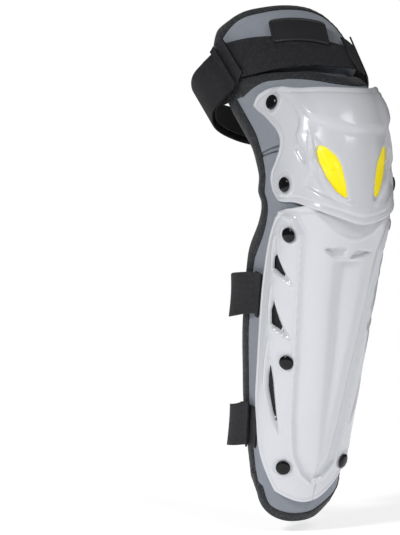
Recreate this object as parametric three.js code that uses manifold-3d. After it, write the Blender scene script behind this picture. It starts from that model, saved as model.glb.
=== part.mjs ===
// Motorcycle knee and shin guard, worn on one leg, in millimetres with +Z up.
// The front faces -Y, the inner side of the leg is -X, and the origin is the middle of the knee.
// Every piece follows the leg: t is the distance along it from the knee (thigh positive),
// u is the angle round it from the front (outer side positive) and h the height off the leg.
import * as THREE from 'three';
import { mergeVertices } from 'three/addons/utils/BufferGeometryUtils.js';
import Module from 'manifold-3d';

const wasm = await Module();
wasm.setup();

// Leg
const SHIN_REACH = 370;         // knee to the pad's foot end
const PAD_RISE = 144;           // knee to the top corners of the pad
const FLAP_REACH = 191;         // knee to the top of the thigh flap
const KNEE_HALF_WIDTH = 47;
const KNEE_DEPTH = 47;          // centre line to the front of the leg
const BEND_BELOW = 50;          // where the shin's straight part ends
const BEND_ABOVE = 66;          // where the thigh's straight part starts
const SHIN_LEAN = -15.5;        // degrees from upright, top of the shin forward
const THIGH_LEAN = 50;          // degrees from upright, top of the thigh back
const SIDE_DEPTH = 70;          // depth of a wing for each radian past 90 degrees
const SIDE_FLARE = 8;           // how far a wing spreads at 180 degrees

// Fabric pieces
const PAD_THICKNESS = 9;
const FLAP_THICKNESS = 6.5;
const FLAP_LIFT = 10.5;         // how far the flap rises from under the arch to the front
const LABEL_THICKNESS = 2.5;
const TAPE_WIDTH = 7.5;
const TAPE_WRAP = 0.9;          // the tape's thickness on each face
const WEBBING = 1.8;            // thickness of bands and tabs
const CLEARANCE = 0.4;          // gap between two pieces that touch
const UNDERLAP = 1.4;           // gap between the arch and the flap under it

// Plastic shells
const SHELL = 2.8;
const CUTTER_TOP = 45;          // height off the leg that is above both shells
const CUP_RISE = 80;
const CUP_DROP = 45;
const CUP_DOME = 6.5;           // how far the middle of the cup stands off the pad
const CUP_SKIRT = 10;           // how far its lower edge stands off over the shin plate
const BROW = 3;                 // step of the brow across the cup
const PLATE_TOP = 32;           // knee to the top of the shin plate
const TOE_MARGIN = 25;          // pad left bare below the shin plate
const PLATE_STAND = WEBBING + 3 * CLEARANCE;
const PLATE_RIDGE = 3.5;        // height of the raised centre panel
const VENT_INSERT = 1.6;

// Rivets
const RIVET_CAP = 15;
const RIVET_DOME = 3.4;
const RIVET_SHANK = 5;
const WASHER = 11;
const WASHER_THICKNESS = 1.2;

// Straps
const STRAP_WIDTH = 43;
const THIGH_STRAP_WIDTH = 56;
const STRAP_HALF_WIDTH = 60;    // leg's middle to the side of a calf strap
const STRAP_BACK = 98;          // leg's middle to the back of a calf strap
const THIGH_STRAP_HALF_WIDTH = 84;
const THIGH_STRAP_BACK = 84;
const RING_WIRE = 4;
const RING_DEPTH = 24;
const HOOK_LENGTH = 38;
const HOOK_THICKNESS = 4;
const HOOK_BAR = 4.5;           // bar of the hook that the band folds round
const HOOK_SLOT = 5;
const HOOK_CLAW = 4;
const FOLD_BACK = 16;           // length of a tab or band sewn back on itself
const FOLD_EASE = 12;           // band's way from its own height to the hook's
const INNER_TAB_BARE = 14;      // inner tab's length past the band's end
const BAND_MARGIN = 5;          // hook's width past the band on each side
const OUTER_TABS = { calf_upper: 0.42, calf_lower: 0.3, thigh: 0.66 };  // as shares of the back

const DEG = Math.PI / 180;
const shinLean = SHIN_LEAN * DEG;
const thighLean = THIGH_LEAN * DEG;
const bendRate = (thighLean - shinLean) / (BEND_BELOW + BEND_ABOVE);
const plateLength = SHIN_REACH - TOE_MARGIN - PLATE_TOP;
const hookReach = 0.6 * HOOK_LENGTH;   // hook's wide end to the ring
const reach = (share) => share * (share < 0 ? SHIN_REACH : FLAP_REACH);
const padReach = (share) => share * (share < 0 ? SHIN_REACH : PAD_RISE);
const cupReach = (share) => share * (share < 0 ? CUP_DROP : CUP_RISE);
const plateReach = (share) => share * plateLength - PLATE_TOP;

// Half width and front depth of the leg, as shares of the knee's
const LEG_SECTIONS = [
  // share of the reach, half width, depth
  [-1, 0.77, 0.47],
  [-0.82, 0.81, 0.51],
  [-0.55, 0.87, 0.62],
  [-0.26, 0.96, 0.75],
  [-0.11, 0.98, 0.89],
  [0, 1, 1],
  [0.31, 1.06, 1],
  [0.63, 1.21, 1.02],
  [1, 1.28, 1.02],
];

// Smooth value of one column of a table at x, with slopes from the neighbouring rows
function readTable(rows, column, x) {
  const last = rows.length - 1;
  let i = rows.findIndex((row) => row[0] > x) - 1;
  if (i < 0) i = x <= rows[0][0] ? 0 : last - 1;
  const slope = (k) => {
    const a = rows[Math.max(k - 1, 0)];
    const b = rows[Math.min(k + 1, last)];
    return (b[column] - a[column]) / (b[0] - a[0]);
  };
  const step = rows[i + 1][0] - rows[i][0];
  const s = Math.min(Math.max((x - rows[i][0]) / step, -0.5), 1.5);
  const s2 = s * s;
  const s3 = s2 * s;
  return (2 * s3 - 3 * s2 + 1) * rows[i][column] + (s3 - 2 * s2 + s) * step * slope(i)
    + (3 * s2 - 2 * s3) * rows[i + 1][column] + (s3 - s2) * step * slope(i + 1);
}

const ramp = (x, from, to) => {
  const s = Math.min(Math.max((x - from) / (to - from), 0), 1);
  return s * s * (3 - 2 * s);
};
const bump = (x, middle, spread) => Math.exp(-(((x - middle) / spread) ** 2));

// Straight shin, an arc at the knee and a straight thigh, in the YZ plane
function centreLine(t) {
  const angleAt = (s) => shinLean + bendRate * (Math.min(Math.max(s, -BEND_BELOW), BEND_ABOVE) + BEND_BELOW);
  const along = (s) => {
    const angle = angleAt(s);
    const below = Math.min(s + BEND_BELOW, 0);
    const above = Math.max(s - BEND_ABOVE, 0);
    const y = (Math.cos(shinLean) - Math.cos(angle)) / bendRate + below * Math.sin(shinLean);
    const z = (Math.sin(angle) - Math.sin(shinLean)) / bendRate + below * Math.cos(shinLean);
    return [y + above * Math.sin(thighLean), z + above * Math.cos(thighLean), angle];
  };
  const [y0, z0] = along(0);
  const [y, z, angle] = along(t);
  return [y - y0, z - z0, angle];
}

// A point at distance across (x) and forward of the centre line, on the section at t
function sectionPoint(t, x, forward) {
  const [y, z, angle] = centreLine(t);
  return new THREE.Vector3(x, y - forward * Math.cos(angle), z + forward * Math.sin(angle));
}

function legWidth(t) {
  return KNEE_HALF_WIDTH * readTable(LEG_SECTIONS, 1, t / (t < 0 ? SHIN_REACH : FLAP_REACH));
}

function legDepth(t) {
  return KNEE_DEPTH * readTable(LEG_SECTIONS, 2, t / (t < 0 ? SHIN_REACH : FLAP_REACH));
}

// Half ellipse in front, straight flaring sides behind
function legPoint(t, u, h) {
  const around = Math.min(Math.abs(u), 90) * DEG;
  const past = Math.max(Math.abs(u) - 90, 0);
  const x = Math.sign(u) * ((legWidth(t) + h) * Math.sin(around) + SIDE_FLARE * (past / 90) ** 1.5);
  const forward = past > 0 ? -past * DEG * SIDE_DEPTH : (legDepth(t) + h) * Math.cos(around);
  return sectionPoint(t, x, forward);
}

// Unit vectors along the leg, round it and outwards at a point of the surface
function legFrame(t, u, h) {
  const along = legPoint(t + 1, u, h).sub(legPoint(t - 1, u, h)).normalize();
  const round = legPoint(t, u + 1, h).sub(legPoint(t, u - 1, h)).normalize();
  const out = new THREE.Vector3().crossVectors(round, along).normalize();
  return { along, round, out };
}

// Solids from grids
function signedVolume(positions, indices) {
  let volume = 0;
  const [a, b, c] = [new THREE.Vector3(), new THREE.Vector3(), new THREE.Vector3()];
  for (let i = 0; i < indices.length; i += 3) {
    a.fromArray(positions, 3 * indices[i]);
    b.fromArray(positions, 3 * indices[i + 1]);
    c.fromArray(positions, 3 * indices[i + 2]);
    volume += a.dot(b.cross(c));
  }
  return volume;
}

function solidGeometry(points, faces) {
  const positions = points.flatMap((p) => [p.x, p.y, p.z]);
  const indices = faces.flatMap(([a, b, c, d]) => (d === undefined ? [a, b, c] : [a, b, c, a, c, d]));
  if (signedVolume(positions, indices) < 0) {
    for (let i = 0; i < indices.length; i += 3) {
      [indices[i], indices[i + 1]] = [indices[i + 1], indices[i]];
    }
  }
  const geometry = new THREE.BufferGeometry();
  geometry.setAttribute('position', new THREE.Float32BufferAttribute(positions, 3));
  geometry.setIndex(indices);
  return geometry;
}

// Wall between two grids of points with the same rows and columns
// A twisted strip's quads are split along the same diagonal in both layers, so they don't cross
function wall(outer, inner, twisted = false) {
  const rows = outer.length;
  const columns = outer[0].length;
  const points = [...outer.flat(), ...inner.flat()];
  const shift = rows * columns;
  const at = (row, column, layer) => row * columns + column + layer * shift;
  const faces = [];
  for (let row = 0; row < rows - 1; row += 1) {
    for (let column = 0; column < columns - 1; column += 1) {
      const quad = (layer) => [at(row, column, layer), at(row, column + 1, layer),
        at(row + 1, column + 1, layer), at(row + 1, column, layer)];
      const [a, b, c, d] = quad(1);
      faces.push(quad(0), twisted ? [a, d, c, b] : [d, c, b, a]);
    }
  }
  const rim = [];
  for (let column = 0; column < columns - 1; column += 1) rim.push([0, column]);
  for (let row = 0; row < rows - 1; row += 1) rim.push([row, columns - 1]);
  for (let column = columns - 1; column > 0; column -= 1) rim.push([rows - 1, column]);
  for (let row = rows - 1; row > 0; row -= 1) rim.push([row, 0]);
  rim.forEach(([row, column], i) => {
    const [nextRow, nextColumn] = rim[(i + 1) % rim.length];
    const next = [0, 1].map((layer) => at(nextRow, nextColumn, layer));
    faces.push([next[0], at(row, column, 0), at(row, column, 1), next[1]]);
  });
  return solidGeometry(points, faces);
}

// Closed bar: sections of equal length joined in a ring, or with flat ends
function bar(sections, ring) {
  const size = sections[0].length;
  const count = sections.length;
  const faces = [];
  const last = ring ? count : count - 1;
  for (let i = 0; i < last; i += 1) {
    const next = (i + 1) % count;
    for (let k = 0; k < size; k += 1) {
      const after = (k + 1) % size;
      faces.push([i * size + k, i * size + after, next * size + after, next * size + k]);
    }
  }
  if (!ring) {
    for (let k = 1; k < size - 1; k += 1) {
      faces.push([0, k + 1, k]);
      faces.push([(count - 1) * size, (count - 1) * size + k, (count - 1) * size + k + 1]);
    }
  }
  return solidGeometry(sections.flat(), faces);
}

// Outlines on the leg's surface
function smoothLine(points, steps) {
  const flat = points.map(([t, u]) => new THREE.Vector3(t, u, 0));
  const curve = new THREE.CatmullRomCurve3(flat, false, 'centripetal');
  return curve.getSpacedPoints(steps).map((p) => [p.x, p.y]);
}

function outline(edges, toReach, across, along) {
  const line = (rows, steps) => smoothLine(rows.map(([share, u]) => [toReach(share), u]), steps);
  return {
    lower: line(edges.lower, across),
    upper: line(edges.upper, across),
    inner: line(edges.inner, along),
    outer: line(edges.outer, along),
  };
}

// The same outline moved inwards, with mitred corners
function insetOutline(edges, distance) {
  const { lower, outer, upper, inner } = edges;
  const loop = [...lower.slice(0, -1), ...outer.slice(0, -1),
    ...upper.slice().reverse().slice(0, -1), ...inner.slice().reverse().slice(0, -1)];
  const count = loop.length;
  const perDegree = ([t, u]) => (Math.abs(u) < 90 ? legWidth(t) * DEG : SIDE_DEPTH * DEG);
  const moved = loop.map((point, i) => {
    const before = loop[(i + count - 1) % count];
    const after = loop[(i + 1) % count];
    const scale = perDegree(point);
    const side = (from, to) => {
      const dt = to[0] - from[0];
      const du = (to[1] - from[1]) * scale;
      const length = Math.hypot(dt, du);
      return [du / length, -dt / length];
    };
    const a = side(before, point);
    const b = side(point, after);
    const sum = [a[0] + b[0], a[1] + b[1]];
    const factor = 2 / Math.max(sum[0] ** 2 + sum[1] ** 2, 1.6);
    return [point[0] + distance * sum[0] * factor, point[1] + distance * sum[1] * factor / scale];
  });
  const [across, along] = [lower.length - 1, outer.length - 1];
  const part = (from, to) => Array.from({ length: to - from + 1 }, (_, i) => moved[(from + i) % count]);
  return {
    lower: part(0, across),
    outer: part(across, across + along),
    upper: part(across + along, 2 * across + along).reverse(),
    inner: part(2 * across + along, 2 * (across + along)).reverse(),
  };
}

// Grid of [t, u] filled in between the four edges
function fillGrid({ lower, upper, inner, outer }) {
  const across = lower.length - 1;
  const along = inner.length - 1;
  return inner.map((left, j) => lower.map((bottom, i) => {
    const r = i / across;
    const s = j / along;
    return [0, 1].map((k) => (1 - s) * bottom[k] + s * upper[i][k] + (1 - r) * left[k] + r * outer[j][k]
      - (1 - r) * (1 - s) * lower[0][k] - r * (1 - s) * lower[across][k]
      - (1 - r) * s * upper[0][k] - r * s * upper[across][k]);
  }));
}

function sheetOnLeg(edges, bottom, top) {
  const grid = fillGrid(edges);
  const layer = (height) => grid.map((row) => row.map(([t, u]) => legPoint(t, u, height(t, u))));
  return wall(layer(top), layer(bottom));
}

// Tape round the edge of a padded piece: a bar with rounded corners along its outline
function tapeRound({ lower, outer, upper, inner }, bottom, thickness) {
  const loop = [...lower.slice(0, -1), ...outer.slice(0, -1),
    ...upper.slice().reverse().slice(0, -1), ...inner.slice().reverse().slice(0, -1)];
  const count = loop.length;
  const middle = loop.map(([t, u]) => legPoint(t, u, bottom(t, u) + thickness / 2));
  const half = thickness / 2 + TAPE_WRAP;
  const profile = [[-0.5, -0.8], [-0.25, -1], [0.5, -0.65], [0.5, 0.65], [-0.25, 1], [-0.5, 0.8]];
  const sections = loop.map(([t, u], i) => {
    const way = middle[(i + 1) % count].clone().sub(middle[(i + count - 1) % count]).normalize();
    const near = (dt, du) => legPoint(t + dt, u + du, bottom(t + dt, u + du));
    const tilt = near(1, 0).sub(near(-1, 0));
    const round = near(0, 1).sub(near(0, -1));
    const out = round.cross(tilt).normalize();
    const side = new THREE.Vector3().crossVectors(way, out).normalize();
    return profile.map(([a, b]) => middle[i].clone()
      .addScaledVector(side, a * TAPE_WIDTH).addScaledVector(out, b * half));
  });
  return bar(sections, true);
}

// Booleans
function toManifold(geometry) {
  const bare = new THREE.BufferGeometry();
  bare.setAttribute('position', geometry.getAttribute('position').clone());
  bare.setIndex(geometry.index ? geometry.index.clone() : null);
  const merged = mergeVertices(bare, 1e-4);
  return new wasm.Manifold(new wasm.Mesh({
    numProp: 3,
    vertProperties: new Float32Array(merged.getAttribute('position').array),
    triVerts: new Uint32Array(merged.index.array),
  }));
}

function fromManifold(solid) {
  const mesh = solid.getMesh();
  const geometry = new THREE.BufferGeometry();
  geometry.setAttribute('position', new THREE.BufferAttribute(new Float32Array(mesh.vertProperties), 3));
  geometry.setIndex([...mesh.triVerts]);
  return geometry;
}

function cut(geometry, cutters) {
  const whole = toManifold(geometry);
  return fromManifold(cutters.reduce((solid, cutter) => solid.subtract(toManifold(cutter)), whole));
}

// Prism through the leg's surface with a polygon outline, from height low to height high
function prismThrough(corners, low, high) {
  const layer = (h) => corners.map(([t, u]) => legPoint(t, u, h));
  return bar([layer(low), layer(high)], false);
}

// Colours
const finish = (color, roughness) => ({ color, roughness, metalness: 0 });
const SHELL_PLASTIC = finish('#dcdee4', 0.28);
const GREY_FABRIC = finish('#8a909b', 0.85);
const BLACK_TAPE = finish('#1e1e21', 0.9);
const BLACK_RUBBER = finish('#1b1c20', 0.5);
const BLACK_PLASTIC = finish('#101114', 0.3);
const YELLOW_PLASTIC = finish('#f6dd08', 0.4);

const guard = new THREE.Group();

function addPiece(name, geometry, look) {
  const mesh = new THREE.Mesh(geometry, new THREE.MeshStandardMaterial(look));
  mesh.name = name;
  guard.add(mesh);
  return mesh;
}

// Rivets: place of each on the cup or the plate
const CUP_RIVETS = [[0.69, -70], [-0.44, -76], [0.6, 57], [-0.44, 67]];
const PLATE_RIVETS = [[-0.1, -64], [-0.52, -50], [-0.88, -39],
  [-0.08, 78], [-0.2, 139], [-0.5, 92], [-0.87, 42]];

// Outline of the body pad, from the foot end up: distance as a share of the reach, angle
const PAD_EDGES = {
  inner: [[-0.905, -104], [-0.73, -127], [-0.62, -135], [-0.51, -141], [-0.34, -142], [-0.28, -140],
    [-0.195, -129], [-0.15, -127], [-0.09, -134], [0, -131], [0.22, -130], [0.56, -125], [1, -119]],
  outer: [[-0.88, 110], [-0.77, 130], [-0.68, 144], [-0.56, 156], [-0.45, 164], [-0.31, 173],
    [-0.25, 173], [-0.195, 168], [-0.157, 148], [-0.108, 128], [-0.03, 115], [0.1, 102], [0.43, 100],
    [0.7, 100], [0.92, 104]],
  lower: [[-0.905, -104], [-0.946, -86], [-0.981, -58], [-0.997, -30], [-0.997, -5], [-0.989, 15],
    [-0.965, 37], [-0.946, 60], [-0.92, 92], [-0.88, 110]],
  upper: [[1, -119], [0.86, -98], [0.73, -77], [0.625, -59], [0.52, -40], [0.445, -18], [0.41, 0],
    [0.417, 20], [0.48, 42], [0.57, 62], [0.695, 80], [0.92, 104]],
};

// Heights off the leg
const padTop = () => PAD_THICKNESS;
const flapBottom = (t, u) => {
  const arch = PAD_EDGES.upper.map(([share, angle]) => [angle, share]);
  const archTop = padReach(readTable(arch, 1, Math.min(Math.max(u, arch[0][0]), arch[arch.length - 1][0])));
  return -FLAP_THICKNESS - 2 * TAPE_WRAP - UNDERLAP + FLAP_LIFT * ramp(t - archTop, 5, 26);
};
const flapTop = (t, u) => flapBottom(t, u) + FLAP_THICKNESS;
const cupBottom = (t, u) => {
  const s = cupShare(t);
  const dome = CUP_DOME * bump(u, 0, 55) * (1 - ramp(s, 0.3, 1));
  const skirt = CUP_SKIRT * ramp(-s, 0.1, 1) * (1 - ramp(Math.abs(u), 30, 69));
  const brow = BROW * bump(u, -4, 42) * ramp(s, 0.16, 0.26) * (1 - ramp(s, 0.35, 0.6));
  return PAD_THICKNESS + CLEARANCE + dome + skirt + brow;
};
const cupTop = (t, u) => cupBottom(t, u) + SHELL;
function cupShare(t) {
  return t < 0 ? t / CUP_DROP : t / CUP_RISE;
}
const plateShare = (t) => (t + PLATE_TOP) / plateLength;
// Half angle of the raised panel, from its point near the foot end up
const PANEL_EDGE = [[-1, -12], [-0.93, 0], [-0.9, 17], [-0.84, 26], [-0.72, 32], [-0.54, 37],
  [-0.27, 43], [0, 46]];
const plateBottom = (t, u) => {
  const s = plateShare(t);
  const inside = ramp(readTable(PANEL_EDGE, 1, s) - Math.abs(u), -2, 6);
  const groove = bump(u, 0, 7) * ramp(-s, 0.14, 0.2) * (1 - ramp(-s, 0.6, 0.86));
  return PAD_THICKNESS + PLATE_STAND + PLATE_RIDGE * inside * (1 - 0.45 * groove);
};
const plateTop = (t, u) => plateBottom(t, u) + SHELL;

// Body pad and its tape
const padOutline = outline(PAD_EDGES, padReach, 13, 24);
const padTapeLine = insetOutline(padOutline, TAPE_WIDTH / 2);
const padInset = insetOutline(padOutline, TAPE_WIDTH + CLEARANCE);
const shankHole = (t, u) => {
  const { along, round, out } = legFrame(t, u, PAD_THICKNESS);
  const radius = (RIVET_SHANK / 2 + CLEARANCE) / Math.cos(30 * DEG);
  const middle = legPoint(t, u, PAD_THICKNESS);
  const corner = (i, h) => middle.clone().addScaledVector(out, h)
    .addScaledVector(along, radius * Math.cos(i * 60 * DEG))
    .addScaledVector(round, radius * Math.sin(i * 60 * DEG));
  const ringAt = (h) => Array.from({ length: 6 }, (_, i) => corner(i, h));
  return bar([ringAt(-PAD_THICKNESS - 8), ringAt(30)], false);
};
const cupRivetPlaces = CUP_RIVETS.map(([s, u]) => [cupReach(s), u]);
const plateRivetPlaces = PLATE_RIVETS.map(([s, u]) => [plateReach(s), u]);
const cupHoles = cupRivetPlaces.map(([t, u]) => shankHole(t, u));
const plateHoles = plateRivetPlaces.map(([t, u]) => shankHole(t, u));
addPiece('body_pad', cut(sheetOnLeg(padInset, () => 0, padTop), [...cupHoles, ...plateHoles]), GREY_FABRIC);
addPiece('body_pad_binding', tapeRound(padTapeLine, () => 0, PAD_THICKNESS), BLACK_TAPE);

// Thigh flap and its tape
const FLAP_EDGES = {
  lower: [[0.5, -96], [0.37, -70], [0.24, -40], [0.2, 0], [0.24, 35], [0.34, 62], [0.42, 78]],
  upper: [[0.97, -107], [1, -92], [0.97, -69], [0.95, -49], [0.916, -29], [0.895, -8], [0.88, 13],
    [0.85, 32], [0.785, 52], [0.69, 74]],
  inner: [[0.5, -96], [0.68, -106], [0.84, -111], [0.97, -107]],
  outer: [[0.42, 78], [0.5, 84], [0.6, 83], [0.69, 74]],
};
const flapOutline = outline(FLAP_EDGES, reach, 13, 8);
const flapInset = insetOutline(flapOutline, TAPE_WIDTH + 5 * CLEARANCE);
addPiece('thigh_flap', sheetOnLeg(flapInset, flapBottom, flapTop), GREY_FABRIC);
const flapTape = tapeRound(insetOutline(flapOutline, TAPE_WIDTH / 2), flapBottom, FLAP_THICKNESS);
addPiece('thigh_flap_binding', flapTape, BLACK_TAPE);

// Front band across the flap, and the rubber patch
const FRONT_BAND_EDGES = {
  lower: [[0.6, -88], [0.5, -66], [0.42, -42], [0.36, -18], [0.34, 6], [0.37, 30], [0.45, 54], [0.52, 70]],
  upper: [[0.88, -88], [0.78, -66], [0.68, -42], [0.59, -18], [0.55, 6], [0.56, 30], [0.62, 54], [0.69, 70]],
  inner: [[0.6, -88], [0.88, -88]],
  outer: [[0.52, 70], [0.69, 70]],
};
const overFlap = (t, u) => Math.max(flapTop(t, u), PAD_THICKNESS - 1) + TAPE_WRAP + CLEARANCE;
const bandOutline = outline(FRONT_BAND_EDGES, reach, 14, 3);
const frontBand = sheetOnLeg(bandOutline, overFlap, (t, u) => overFlap(t, u) + WEBBING);
addPiece('thigh_front_band', frontBand, BLACK_TAPE);
const LABEL_EDGES = {
  lower: [[0.6, -39], [0.55, -16], [0.5, 8]],
  upper: [[0.765, -33], [0.73, -8], [0.7, 15]],
  inner: [[0.6, -39], [0.765, -33]],
  outer: [[0.5, 8], [0.7, 15]],
};
const labelBottom = (t, u) => overFlap(t, u) + WEBBING + CLEARANCE;
const labelOutline = outline(LABEL_EDGES, reach, 6, 4);
const label = sheetOnLeg(labelOutline, labelBottom, (t, u) => labelBottom(t, u) + LABEL_THICKNESS);
addPiece('label_patch', label, BLACK_RUBBER);

// Knee cup with its two vents, and the yellow inserts behind them
const CUP_EDGES = {
  inner: [[-0.6, -101], [-0.33, -104], [-0.09, -101], [0.075, -90], [0.15, -82], [0.25, -77], [0.36, -78],
    [0.56, -85], [0.81, -92], [0.97, -94]],
  lower: [[-0.6, -101], [-0.78, -92], [-0.79, -80], [-0.76, -63], [-0.8, -42], [-0.89, -20], [-0.98, 0],
    [-0.93, 20], [-0.84, 36], [-0.73, 52], [-0.69, 70], [-0.55, 83]],
  outer: [[-0.55, 83], [-0.27, 86], [-0.02, 80], [0.12, 68], [0.22, 62], [0.3, 63], [0.47, 68],
    [0.66, 75], [0.75, 76]],
  upper: [[0.97, -94], [0.97, -82], [0.875, -66], [0.75, -54], [0.65, -43], [0.55, -20], [0.51, 0],
    [0.54, 20], [0.64, 40], [0.74, 52], [0.79, 66], [0.75, 76]],
};
const CUP_VENTS = {
  inner: [[0.19, -40], [0.09, -36], [-0.05, -30], [-0.58, -14], [-0.6, -11], [-0.33, -13],
    [-0.09, -18], [0.05, -28]],
  outer: [[0.17, 36], [0.06, 33], [-0.08, 27], [-0.62, 12], [-0.66, 14], [-0.5, 20],
    [-0.13, 34], [0.06, 37]],
};
const ventCorners = (rows, toReach) => rows.map(([share, u]) => [toReach(share), u]);
const throughCup = (rows) => prismThrough(ventCorners(rows, cupReach), 0, CUTTER_TOP);
const cupVents = Object.values(CUP_VENTS).map(throughCup);
const cupOutline = outline(CUP_EDGES, cupReach, 16, 14);
const cupBlank = sheetOnLeg(cupOutline, cupBottom, cupTop);
addPiece('knee_cup', cut(cupBlank, [...cupHoles, ...cupVents]), SHELL_PLASTIC);
const insertTop = (t, u) => cupBottom(t, u) - 2 * CLEARANCE;
Object.entries(CUP_VENTS).forEach(([side, rows]) => {
  const sign = side === 'inner' ? -1 : 1;
  const [top, low] = [rows[0], rows[3]];
  const lap = 4;
  const edges = {
    lower: [[low[0] - 0.08, low[1] - lap], [low[0] - 0.08, low[1] + lap]],
    upper: [[top[0] + 0.03, top[1] - lap], [top[0] + 0.03, top[1] + lap]],
    inner: [[low[0] - 0.08, low[1] - lap], [-0.05, 27 * sign - 10], [top[0] + 0.03, top[1] - lap]],
    outer: [[low[0] - 0.08, low[1] + lap], [-0.05, 27 * sign + 10], [top[0] + 0.03, top[1] + lap]],
  };
  const insertBottom = (t, u) => insertTop(t, u) - VENT_INSERT;
  const insert = sheetOnLeg(outline(edges, cupReach, 3, 7), insertBottom, insertTop);
  addPiece('vent_insert_' + side, insert, YELLOW_PLASTIC);
});

// Shin plate with three vents on each side
const PLATE_EDGES = {
  inner: [[-0.968, -46], [-0.863, -73], [-0.805, -84], [-0.693, -96], [-0.585, -99], [-0.46, -101],
    [-0.284, -101], [-0.128, -96], [-0.064, -90]],
  outer: [[-0.917, 41], [-0.85, 61], [-0.764, 82], [-0.652, 102], [-0.521, 118], [-0.383, 137],
    [-0.281, 150], [-0.204, 154], [-0.157, 146]],
  lower: [[-0.968, -46], [-0.987, -29], [-1, -10], [-0.99, 8], [-0.955, 26], [-0.917, 41]],
  upper: [[-0.064, -90], [-0.035, -80], [-0.02, -63], [-0.006, -40], [0, 0], [-0.008, 40], [-0.022, 55],
    [-0.035, 78], [-0.093, 113], [-0.157, 146]],
};
const PLATE_VENTS = [
  [[-0.13, -85], [-0.225, -85], [-0.258, -53], [-0.195, -71]],
  [[-0.295, -83], [-0.41, -78], [-0.438, -48], [-0.368, -70]],
  [[-0.48, -75], [-0.61, -75], [-0.76, -51], [-0.68, -57], [-0.565, -65]],
  [[-0.13, 83], [-0.205, 81], [-0.227, 57], [-0.185, 72]],
  [[-0.27, 76], [-0.378, 73], [-0.415, 47], [-0.355, 64]],
  [[-0.45, 69], [-0.545, 68], [-0.74, 47], [-0.63, 52], [-0.53, 58]],
];
const throughPlate = (rows) => prismThrough(ventCorners(rows, plateReach), PAD_THICKNESS, CUTTER_TOP);
const plateVents = PLATE_VENTS.map(throughPlate);
const plateOutline = outline(PLATE_EDGES, plateReach, 14, 15);
const plateBlank = sheetOnLeg(plateOutline, plateBottom, plateTop);
addPiece('shin_plate', cut(plateBlank, [...plateHoles, ...plateVents]), SHELL_PLASTIC);

// Rivets: domed cap, shank through shell and pad, washer behind the pad
function addRivet(name, t, u, seat) {
  const { along, round, out } = legFrame(t, u, PAD_THICKNESS);
  const [capRadius, shankRadius, washerRadius] = [RIVET_CAP / 2, RIVET_SHANK / 2, WASHER / 2];
  const rise = seat - PAD_THICKNESS + CLEARANCE + 0.5;
  const hollow = 1.6 * washerRadius ** 2 / legDepth(t);
  const throughPad = legPoint(t, u, PAD_THICKNESS).sub(legPoint(t, u, 0)).dot(out);
  const back = -throughPad - CLEARANCE - hollow;
  const washerBack = back - WASHER_THICKNESS;
  const profile = [[0, washerBack], [washerRadius, washerBack], [washerRadius, back],
    [shankRadius, back], [shankRadius, rise], [capRadius, rise], [capRadius, rise + 0.8],
    [capRadius * 0.7, rise + RIVET_DOME * 0.8], [0, rise + RIVET_DOME]];
  const lathe = new THREE.LatheGeometry(profile.map(([r, y]) => new THREE.Vector2(r, y)), 10);
  const place = new THREE.Matrix4().makeBasis(along, out, round.clone());
  if (place.determinant() < 0) place.makeBasis(along, out, round.clone().negate());
  place.setPosition(legPoint(t, u, PAD_THICKNESS));
  addPiece(name, lathe, BLACK_PLASTIC).applyMatrix4(place);
}
const rivets = [...cupRivetPlaces.map(([t, u]) => [t, u, cupTop(t, u)]),
  ...plateRivetPlaces.map(([t, u]) => [t, u, plateTop(t, u)])];
rivets.forEach(([t, u, seat], i) => addRivet('rivet_' + String(i + 1).padStart(2, '0'), t, u, seat));

// Straps: each runs in sections across the leg, from the outer side round the back to the inner side
// Where a strap lies on the pad its rows give the depth alone, first and last in its path,
// and its free rows give side and depth (shares of its reach, outer and back positive) and drop
const STRAPS = {
  calf_upper: {
    outer: [0.5, 0.65, 0.8],
    free: [[1.05, 1, 0], [1, 1.16, -0.06], [0.72, 1.25, -0.2], [0.35, 1.2, -0.4],
      [-0.1, 1.08, -0.55], [-0.55, 0.98, -0.6], [-0.9, 0.82, -0.5], [-1.02, 0.6, -0.25]],
    inner: [0.27, 0.03],
  },
  calf_lower: {
    outer: [-0.04, 0.2, 0.42],
    free: [[1.06, 0.56, 0], [1.07, 0.84, -0.05], [0.95, 1.05, -0.15], [0.62, 1.18, -0.3],
      [0.2, 1.16, -0.45], [-0.3, 1.05, -0.55], [-0.75, 0.85, -0.5], [-1, 0.55, -0.25]],
    inner: [0.24, 0.05],
  },
  thigh: {
    outer: [-0.4, -0.31, -0.2, -0.06, 0.1],
    free: [[0.96, 0.3, 0], [1, 0.5, 0], [0.93, 0.74, 0], [0.55, 0.95, 0.08],
      [0, 1, 0.14], [-0.5, 0.95, 0.16], [-0.86, 0.76, 0.12], [-0.98, 0.5, 0.05], [-0.93, 0.27, 0]],
    inner: [0.08, -0.14],
  },
};
function strapPath({ outer, free, inner }, seats, stations, halfWidth, back, width) {
  const [outerSeat, innerSeat] = seats;
  const [outerStation, innerStation] = stations;
  const onPad = (depth, seat, station) => {
    const across = legWidth(station) + seat;
    if (depth > 0) return across + SIDE_FLARE * (depth / SIDE_DEPTH / (Math.PI / 2)) ** 1.5;
    return across * Math.sqrt(1 - (depth / (legDepth(station) + seat)) ** 2);
  };
  const points = [
    ...outer.map((share) => {
      const across = onPad(share * back, outerSeat, outerStation);
      return new THREE.Vector3(across, -share * back, outerStation);
    }),
    ...free.map(([side, share, drop], i) => {
      const level = outerStation + (innerStation - outerStation) * ramp(i / free.length, 0, 0.7);
      return new THREE.Vector3(side * halfWidth, -share * back, level + drop * width);
    }),
    ...inner.map((share) => {
      const across = onPad(share * back, innerSeat, innerStation);
      return new THREE.Vector3(-across, -share * back, innerStation);
    }),
  ];
  return new THREE.CatmullRomCurve3(points, false, 'centripetal');
}

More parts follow.
